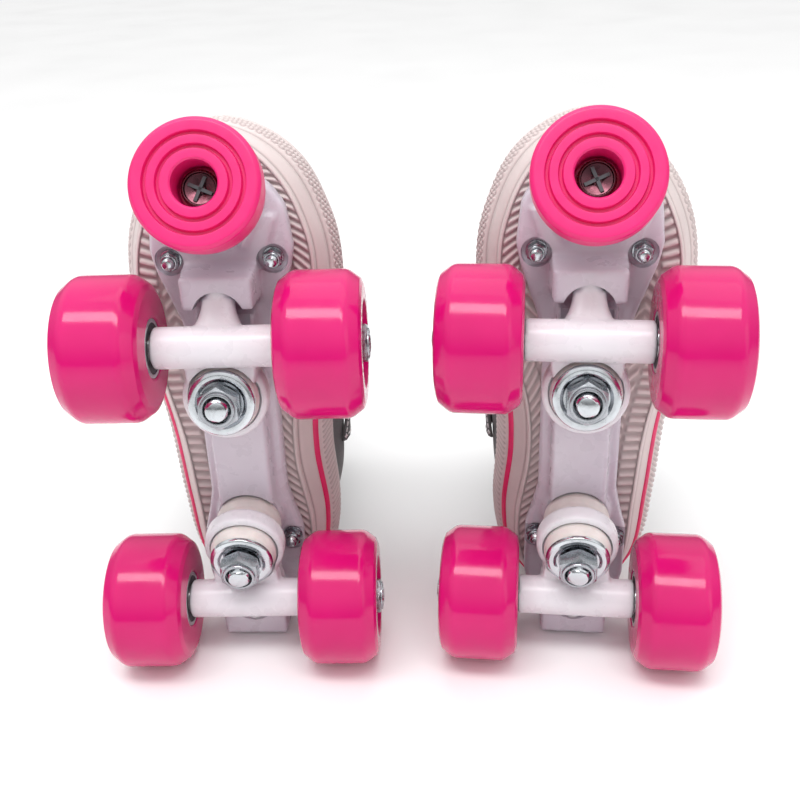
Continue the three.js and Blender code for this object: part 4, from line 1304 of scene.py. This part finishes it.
def boot_patch(shares, ends, columns, lift, thickness, taper=0.5):
    """A closed sheet that lies on the boot. ends(share) gives its first and last turn round the boot.
    Returns the skin and its outer edge."""
    outer, inner = [], []
    for share in shares:
        first, last = ends(share)
        turns = np.linspace(first, last, columns)
        outer.append(on_boot(share, turns, lift + thickness))
        inner.append(on_boot(share, turns, lift))
    outer, inner = np.array(outer), np.array(inner)
    grid = np.concatenate([outer, inner[::-1]], axis=0)
    wide, tall = lengths(outer[len(outer) // 2]), lengths(outer[:, columns // 2])
    high = np.concatenate([tall, tall[::-1]])
    count = len(grid)
    # rows run up the outside and down the inside; columns close through the two side walls
    skin = sheet_of(grid, round_rows=True,
                    flat=lambda r, c: (float(wide[min(c, columns - 1)]), float(high[r % count])))
    rows = len(shares)
    sides = []
    for c, flip in ((0, True), (columns - 1, False)):
        for r in range(rows - 1):
            a, b = r * columns + c, (r + 1) * columns + c
            d, e = (count - 1 - r) * columns + c, (count - 2 - r) * columns + c
            sides.append((a, b, e, d) if flip else (a, d, e, b))
    skin.faces += sides
    skin.corners += [[(0.0, 0.0)] * 4 for _ in sides]
    return skin, outer


def patch_border(outer, inset, top=True, bottom=True, start=True, end=True):
    """Lines on a patch, a little inside its edges, for the stitching."""
    rows, columns = outer.shape[:2]
    tall, wide = lengths(outer[:, columns // 2]), lengths(outer[rows // 2])

    def at(r, c):
        r0, c0 = min(int(r), rows - 2), min(int(c), columns - 2)
        u, v = r - r0, c - c0
        return ((1 - u) * ((1 - v) * outer[r0, c0] + v * outer[r0, c0 + 1])
                + u * ((1 - v) * outer[r0 + 1, c0] + v * outer[r0 + 1, c0 + 1]))

    r_low = float(np.interp(inset, tall, np.arange(rows)))
    r_high = float(np.interp(tall[-1] - inset, tall, np.arange(rows)))
    c_low = float(np.interp(inset, wide, np.arange(columns)))
    c_high = float(np.interp(wide[-1] - inset, wide, np.arange(columns)))
    lines = []
    if start:
        lines.append([at(r, c_low) for r in np.linspace(r_low, r_high, 60)])
    if end:
        lines.append([at(r, c_high) for r in np.linspace(r_low, r_high, 60)])
    if bottom:
        lines.append([at(r_low, c) for c in np.linspace(c_low, c_high, 120)])
    if top:
        lines.append([at(r_high, c) for c in np.linspace(c_low, c_high, 120)])
    return [np.array(line) for line in lines]


# ---------------------------------------------------------------- the upper and what is sewn on it

def make_shell(side):
    """The canvas itself, open at the throat, with its lining inside."""
    shares = np.concatenate([np.linspace(0, 0.34, 26), np.linspace(0.36, 0.47, 18), np.linspace(0.49, 1, 34)])
    columns = 220
    turns = np.linspace(0, 1, columns)
    grid = np.array([on_boot(share, open_column(share, turns)) for share in shares])
    low = int(np.sum(shares <= THROAT_START))
    grid[:low, -1] = grid[:low, 0]
    wide, tall = lengths(grid[len(shares) // 2]), lengths(grid[:, columns // 2])
    skin = sheet_of(grid, flat=lambda r, c: (float(wide[c]), float(tall[r])))
    shell = new_object(f"{side}_canvas_shell", mesh_of(f"{side}_canvas_shell", skin, side, 50))
    weld = shell.modifiers.new("weld", "WELD")
    weld.merge_threshold = 0.00005
    wall = shell.modifiers.new("wall", "SOLIDIFY")
    wall.thickness = (UPPER_WALL - 0.4) * MM
    wall.offset = -1
    wall.use_even_offset = False
    wall.material_offset = 1
    applied(shell)
    ride_on(shell, side, "chassis", LOOKS["canvas"], ["upper"])
    shell.data.materials.append(LOOKS["lining"])


def eyestay_ends(edge):
    """An overlay 17 mm wide along one edge of the throat, rounded at its foot."""
    def ends(share):
        half = throat_half(share)
        wide = 16 * math.sqrt(max(0.04, 1 - max(0, (THROAT_START + 0.04 - share) / 0.127) ** 2))
        if edge == "inner":
            return column_at(share, -half - 1.2), column_at(share, -half - 1.2 - wide)
        return column_at(share, half + 1.2 + wide), column_at(share, half + 1.2)
    return ends


def toe_ends(share):
    """The toe panel is widest at the sole and ends in a round arch across the vamp."""
    half = 0.2 * math.sqrt(max(0.02, 1 - (share / 0.252) ** 2))
    return -half, half


def make_overlays(side):
    lines = []
    for edge in EDGES:
        skin, outer = boot_patch(np.linspace(THROAT_START - 0.085, 0.97, 70), eyestay_ends(edge), 14, -0.1, 1.1)
        settle(f"eyestay_{edge}", skin, side, "chassis", LOOKS["panel"], 50)
        lines += patch_border(outer, 2.2, top=False) + patch_border(outer, 4.4, top=False, bottom=False)
    toe, outer = boot_patch(0.25 * np.sin(np.linspace(0, 1.5, 30)), toe_ends, 140, -0.1, 1.0)
    settle("toe_panel", toe, side, "chassis", LOOKS["panel"], 50)
    lines += patch_border(outer, 2.2, bottom=False) + patch_border(outer, 4.4, bottom=False)
    heel, outer = boot_patch(np.linspace(0.0, 0.9, 46), lambda share: (0.5 - 0.05 + 0.025 * share,
                                                                      0.5 + 0.05 - 0.025 * share), 24, -0.1, 1.0)
    settle("heel_panel", heel, side, "chassis", LOOKS["panel"], 50)
    lines += patch_border(outer, 2.0, bottom=False, top=False)
    stitched("boot_stitches", lines, side)


def strap_skin(height):
    """A band round the ankle: points on the boot's shape that lie in a sloping plane."""
    front = SOLE_BACK + float(profile_at(height, 1)) * SOLE_LENGTH
    rise = UPPER_Z + height * UPPER_HEIGHT
    rows = []
    for w in np.linspace(-STRAP_WIDTH / 2 + 0.4, STRAP_WIDTH / 2 - 0.4, 12):
        turns = np.linspace(-0.42, 0.42, 500)
        share = np.full(500, height)
        for _ in range(25):
            y = on_boot(share, turns)[:, 1]
            z = rise + math.tan(STRAP_SLOPE) * (y - front) + w / math.cos(STRAP_SLOPE)
            share = 0.5 * share + 0.5 * np.clip((z - UPPER_Z) / UPPER_HEIGHT, 0.03, 1.06)
        line = on_boot(share, turns)
        ahead = line[:, 1] > STRAP_BACK + 1.5
        chosen_turns = turns[ahead]
        gone = lengths(line[ahead])
        even = np.linspace(0, gone[-1], 150)
        rows.append((np.interp(even, gone, share[ahead]), np.interp(even, gone, chosen_turns)))
    shares = np.array([row[0] for row in rows])
    turns = np.array([row[1] for row in rows])
    edge = np.abs(np.linspace(-1, 1, 12))[:, None] ** 6
    outer = on_boot(shares, turns, 3.0 - 0.8 * edge)
    inner = on_boot(shares, turns, 1.3)
    return outer, inner


def make_straps(side):
    for name, height in STRAP_HEIGHTS.items():
        outer, inner = strap_skin(height)
        grid = np.concatenate([outer, inner[::-1]], axis=0)
        count, columns = grid.shape[:2]
        wide, tall = lengths(outer[6]), lengths(outer[:, 75])
        high = np.concatenate([tall, tall[::-1]])
        skin = sheet_of(grid.transpose(1, 0, 2)[::-1], round_columns=True, caps=(True, True),
                        flat=lambda r, c: (float(wide[min(r, columns - 1)]), float(high[c % count])))
        settle(f"{name}_band", skin, side, "chassis", LOOKS["webbing"], 50, [name])
        stitched(f"{name}_stitches", patch_border(outer, 1.8), side, 2.8)


def make_insole(side):
    columns = 160
    rows = []
    for inset in (30, 20, 12, 7, 4.2):
        ring = boot_ring(0.05, inset)[::BOOT_COLUMNS // columns if BOOT_COLUMNS >= columns else 1]
        ring[:, 2] = UPPER_Z + UPPER_WALL + 0.9 + 0.06 * (30 - inset) * 0.3
        rows.append(ring)
    settle("insole", sheet_of(np.array(rows)[:, ::-1], round_columns=True, caps=(True, False)), side, "chassis",
           LOOKS["lining"], 60)


# ---------------------------------------------------------------- padding, blown up as cloth

def inflated(name, skin, voxel, pressure=4.0, limit=3.0, pins=None):
    """Blows a closed soft shape up as cloth and gives back its skin. pins(points) holds some of it."""
    mesh = bpy.data.meshes.new(name)
    mesh.from_pydata((skin.points * MM).tolist(), [], skin.faces)
    thing = new_object(name, mesh)
    remesh = thing.modifiers.new("skin", "REMESH")
    remesh.mode = "VOXEL"
    remesh.voxel_size = voxel * MM
    applied(thing)
    count = len(thing.data.vertices)
    start = np.empty(count * 3)
    thing.data.vertices.foreach_get("co", start)
    start = start.reshape(-1, 3) / MM
    held = thing.vertex_groups.new(name="held")
    for index in np.nonzero(pins(start))[0]:
        held.add([int(index)], 1.0, "REPLACE")
    cloth = thing.modifiers.new("cloth", "CLOTH")
    cloth.settings.quality = 6
    cloth.settings.mass = 0.15
    cloth.settings.tension_stiffness = 12
    cloth.settings.compression_stiffness = 12
    cloth.settings.bending_stiffness = 0.3
    cloth.settings.use_pressure = True
    cloth.settings.uniform_pressure_force = pressure
    cloth.settings.vertex_group_mass = "held"
    cloth.settings.effector_weights.gravity = 0
    cloth.collision_settings.use_collision = False
    cloth.point_cache.frame_start, cloth.point_cache.frame_end = 1, 20
    scene = bpy.context.scene
    for step in range(1, 21):
        scene.frame_set(step)
    applied(thing)
    scene.frame_set(1)
    moved_to = np.empty(count * 3)
    thing.data.vertices.foreach_get("co", moved_to)
    push = moved_to.reshape(-1, 3) / MM - start
    far = np.linalg.norm(push, axis=1)
    push *= np.minimum(1, limit / np.maximum(far, 1e-6))[:, None]
    thing.data.vertices.foreach_set("co", ((start + push) * MM).ravel())
    fine = thing.modifiers.new("fine", "SUBSURF")
    fine.levels = fine.render_levels = 1
    applied(thing)
    points = np.empty(len(thing.data.vertices) * 3)
    thing.data.vertices.foreach_get("co", points)
    faces = [tuple(face.vertices) for face in thing.data.polygons]
    bpy.data.objects.remove(thing)
    return Skin(points.reshape(-1, 3) / MM, faces)


COLLAR_LOW, COLLAR_HIGH = 0.845, 1.0


def collar_shape():
    """The padded collar: a flat roll inside the top of the canvas, stopping at the throat."""
    columns = 150
    grid = []
    outline = [(COLLAR_LOW, -UPPER_WALL - 0.3), (COLLAR_LOW + 0.01, -UPPER_WALL - 3.0), (0.92, -UPPER_WALL - 5.0),
               (0.985, -UPPER_WALL - 4.6), (1.015, -UPPER_WALL - 2.6), (1.02, -0.8), (1.005, 0.2), (0.99, -0.4),
               (0.985, -UPPER_WALL - 0.1), (0.93, -UPPER_WALL - 0.1)]
    for share, lift in outline:
        half = THROAT_HALF_WIDTH + 3.5
        first = column_at(min(share, 1), -half)
        last = 1 + column_at(min(share, 1), half)
        grid.append(on_boot(share, np.linspace(first, last, columns), lift))
    return sheet_of(np.array(grid).transpose(1, 0, 2), round_columns=True, caps=(True, True))


def collar_pins(points):
    low = UPPER_Z + (COLLAR_LOW + 0.012) * UPPER_HEIGHT
    return points[:, 2] < low


TONGUE_HALF_WIDTH = 19


def tongue_shape():
    """A padded tongue behind the throat, thinner at its edges, with a rounded top."""
    shares = np.linspace(0.33, 1.085, 56)
    columns = 26
    outer, inner = [], []
    for i, share in enumerate(shares):
        top = max(0, (share - 1.0) / 0.085)
        half = (TONGUE_HALF_WIDTH - 1) * math.sqrt(max(0.08, 1 - top ** 3))
        x = np.linspace(-half, half, columns)
        turns = np.array([column_at(share, value) for value in x])[::-1]
        thin = 1 - np.abs(np.linspace(-1, 1, columns)) ** 4
        end = min(1, i / 3, (len(shares) - 1 - i) / 3)
        thick = (0.8 + 1.6 * thin) * (0.35 + 0.65 * end)
        outer.append(on_boot(share, turns, -5.6 + thick))
        inner.append(on_boot(share, turns, -5.6 - thick))
    grid = np.concatenate([np.array(outer), np.array(inner)[:, ::-1]], axis=1)
    return sheet_of(grid[:, ::-1], round_columns=True, caps=(True, True))


def tongue_pins(points):
    """The quilting seams across the tongue, and its foot."""
    height = (points[:, 2] - UPPER_Z) / UPPER_HEIGHT
    seam = np.abs(((height - 0.4) / 0.17) % 1 - 0.5) > 0.47
    return seam | (height < 0.36)


def make_padding():
    collar = inflated("collar_roll", collar_shape(), 2.2, 4.0, 1.8, collar_pins)
    tongue = inflated("tongue_pad", tongue_shape(), 1.8, 4.0, 1.5, tongue_pins)
    for side in SIDES:
        roll = settle("collar_padding", collar, side, "chassis", LOOKS["padding"], 180)
        pad = settle("tongue_padding", tongue, side, "chassis", LOOKS["padding"], 180, ["tongue"])


def make_boot(side):
    make_outsole(side)
    make_pinstripe(side)
    make_shell(side)
    make_overlays(side)
    make_straps(side)
    make_insole(side)


make_padding()
for skate_side in SIDES:
    make_chassis(skate_side)
    make_boot(skate_side)
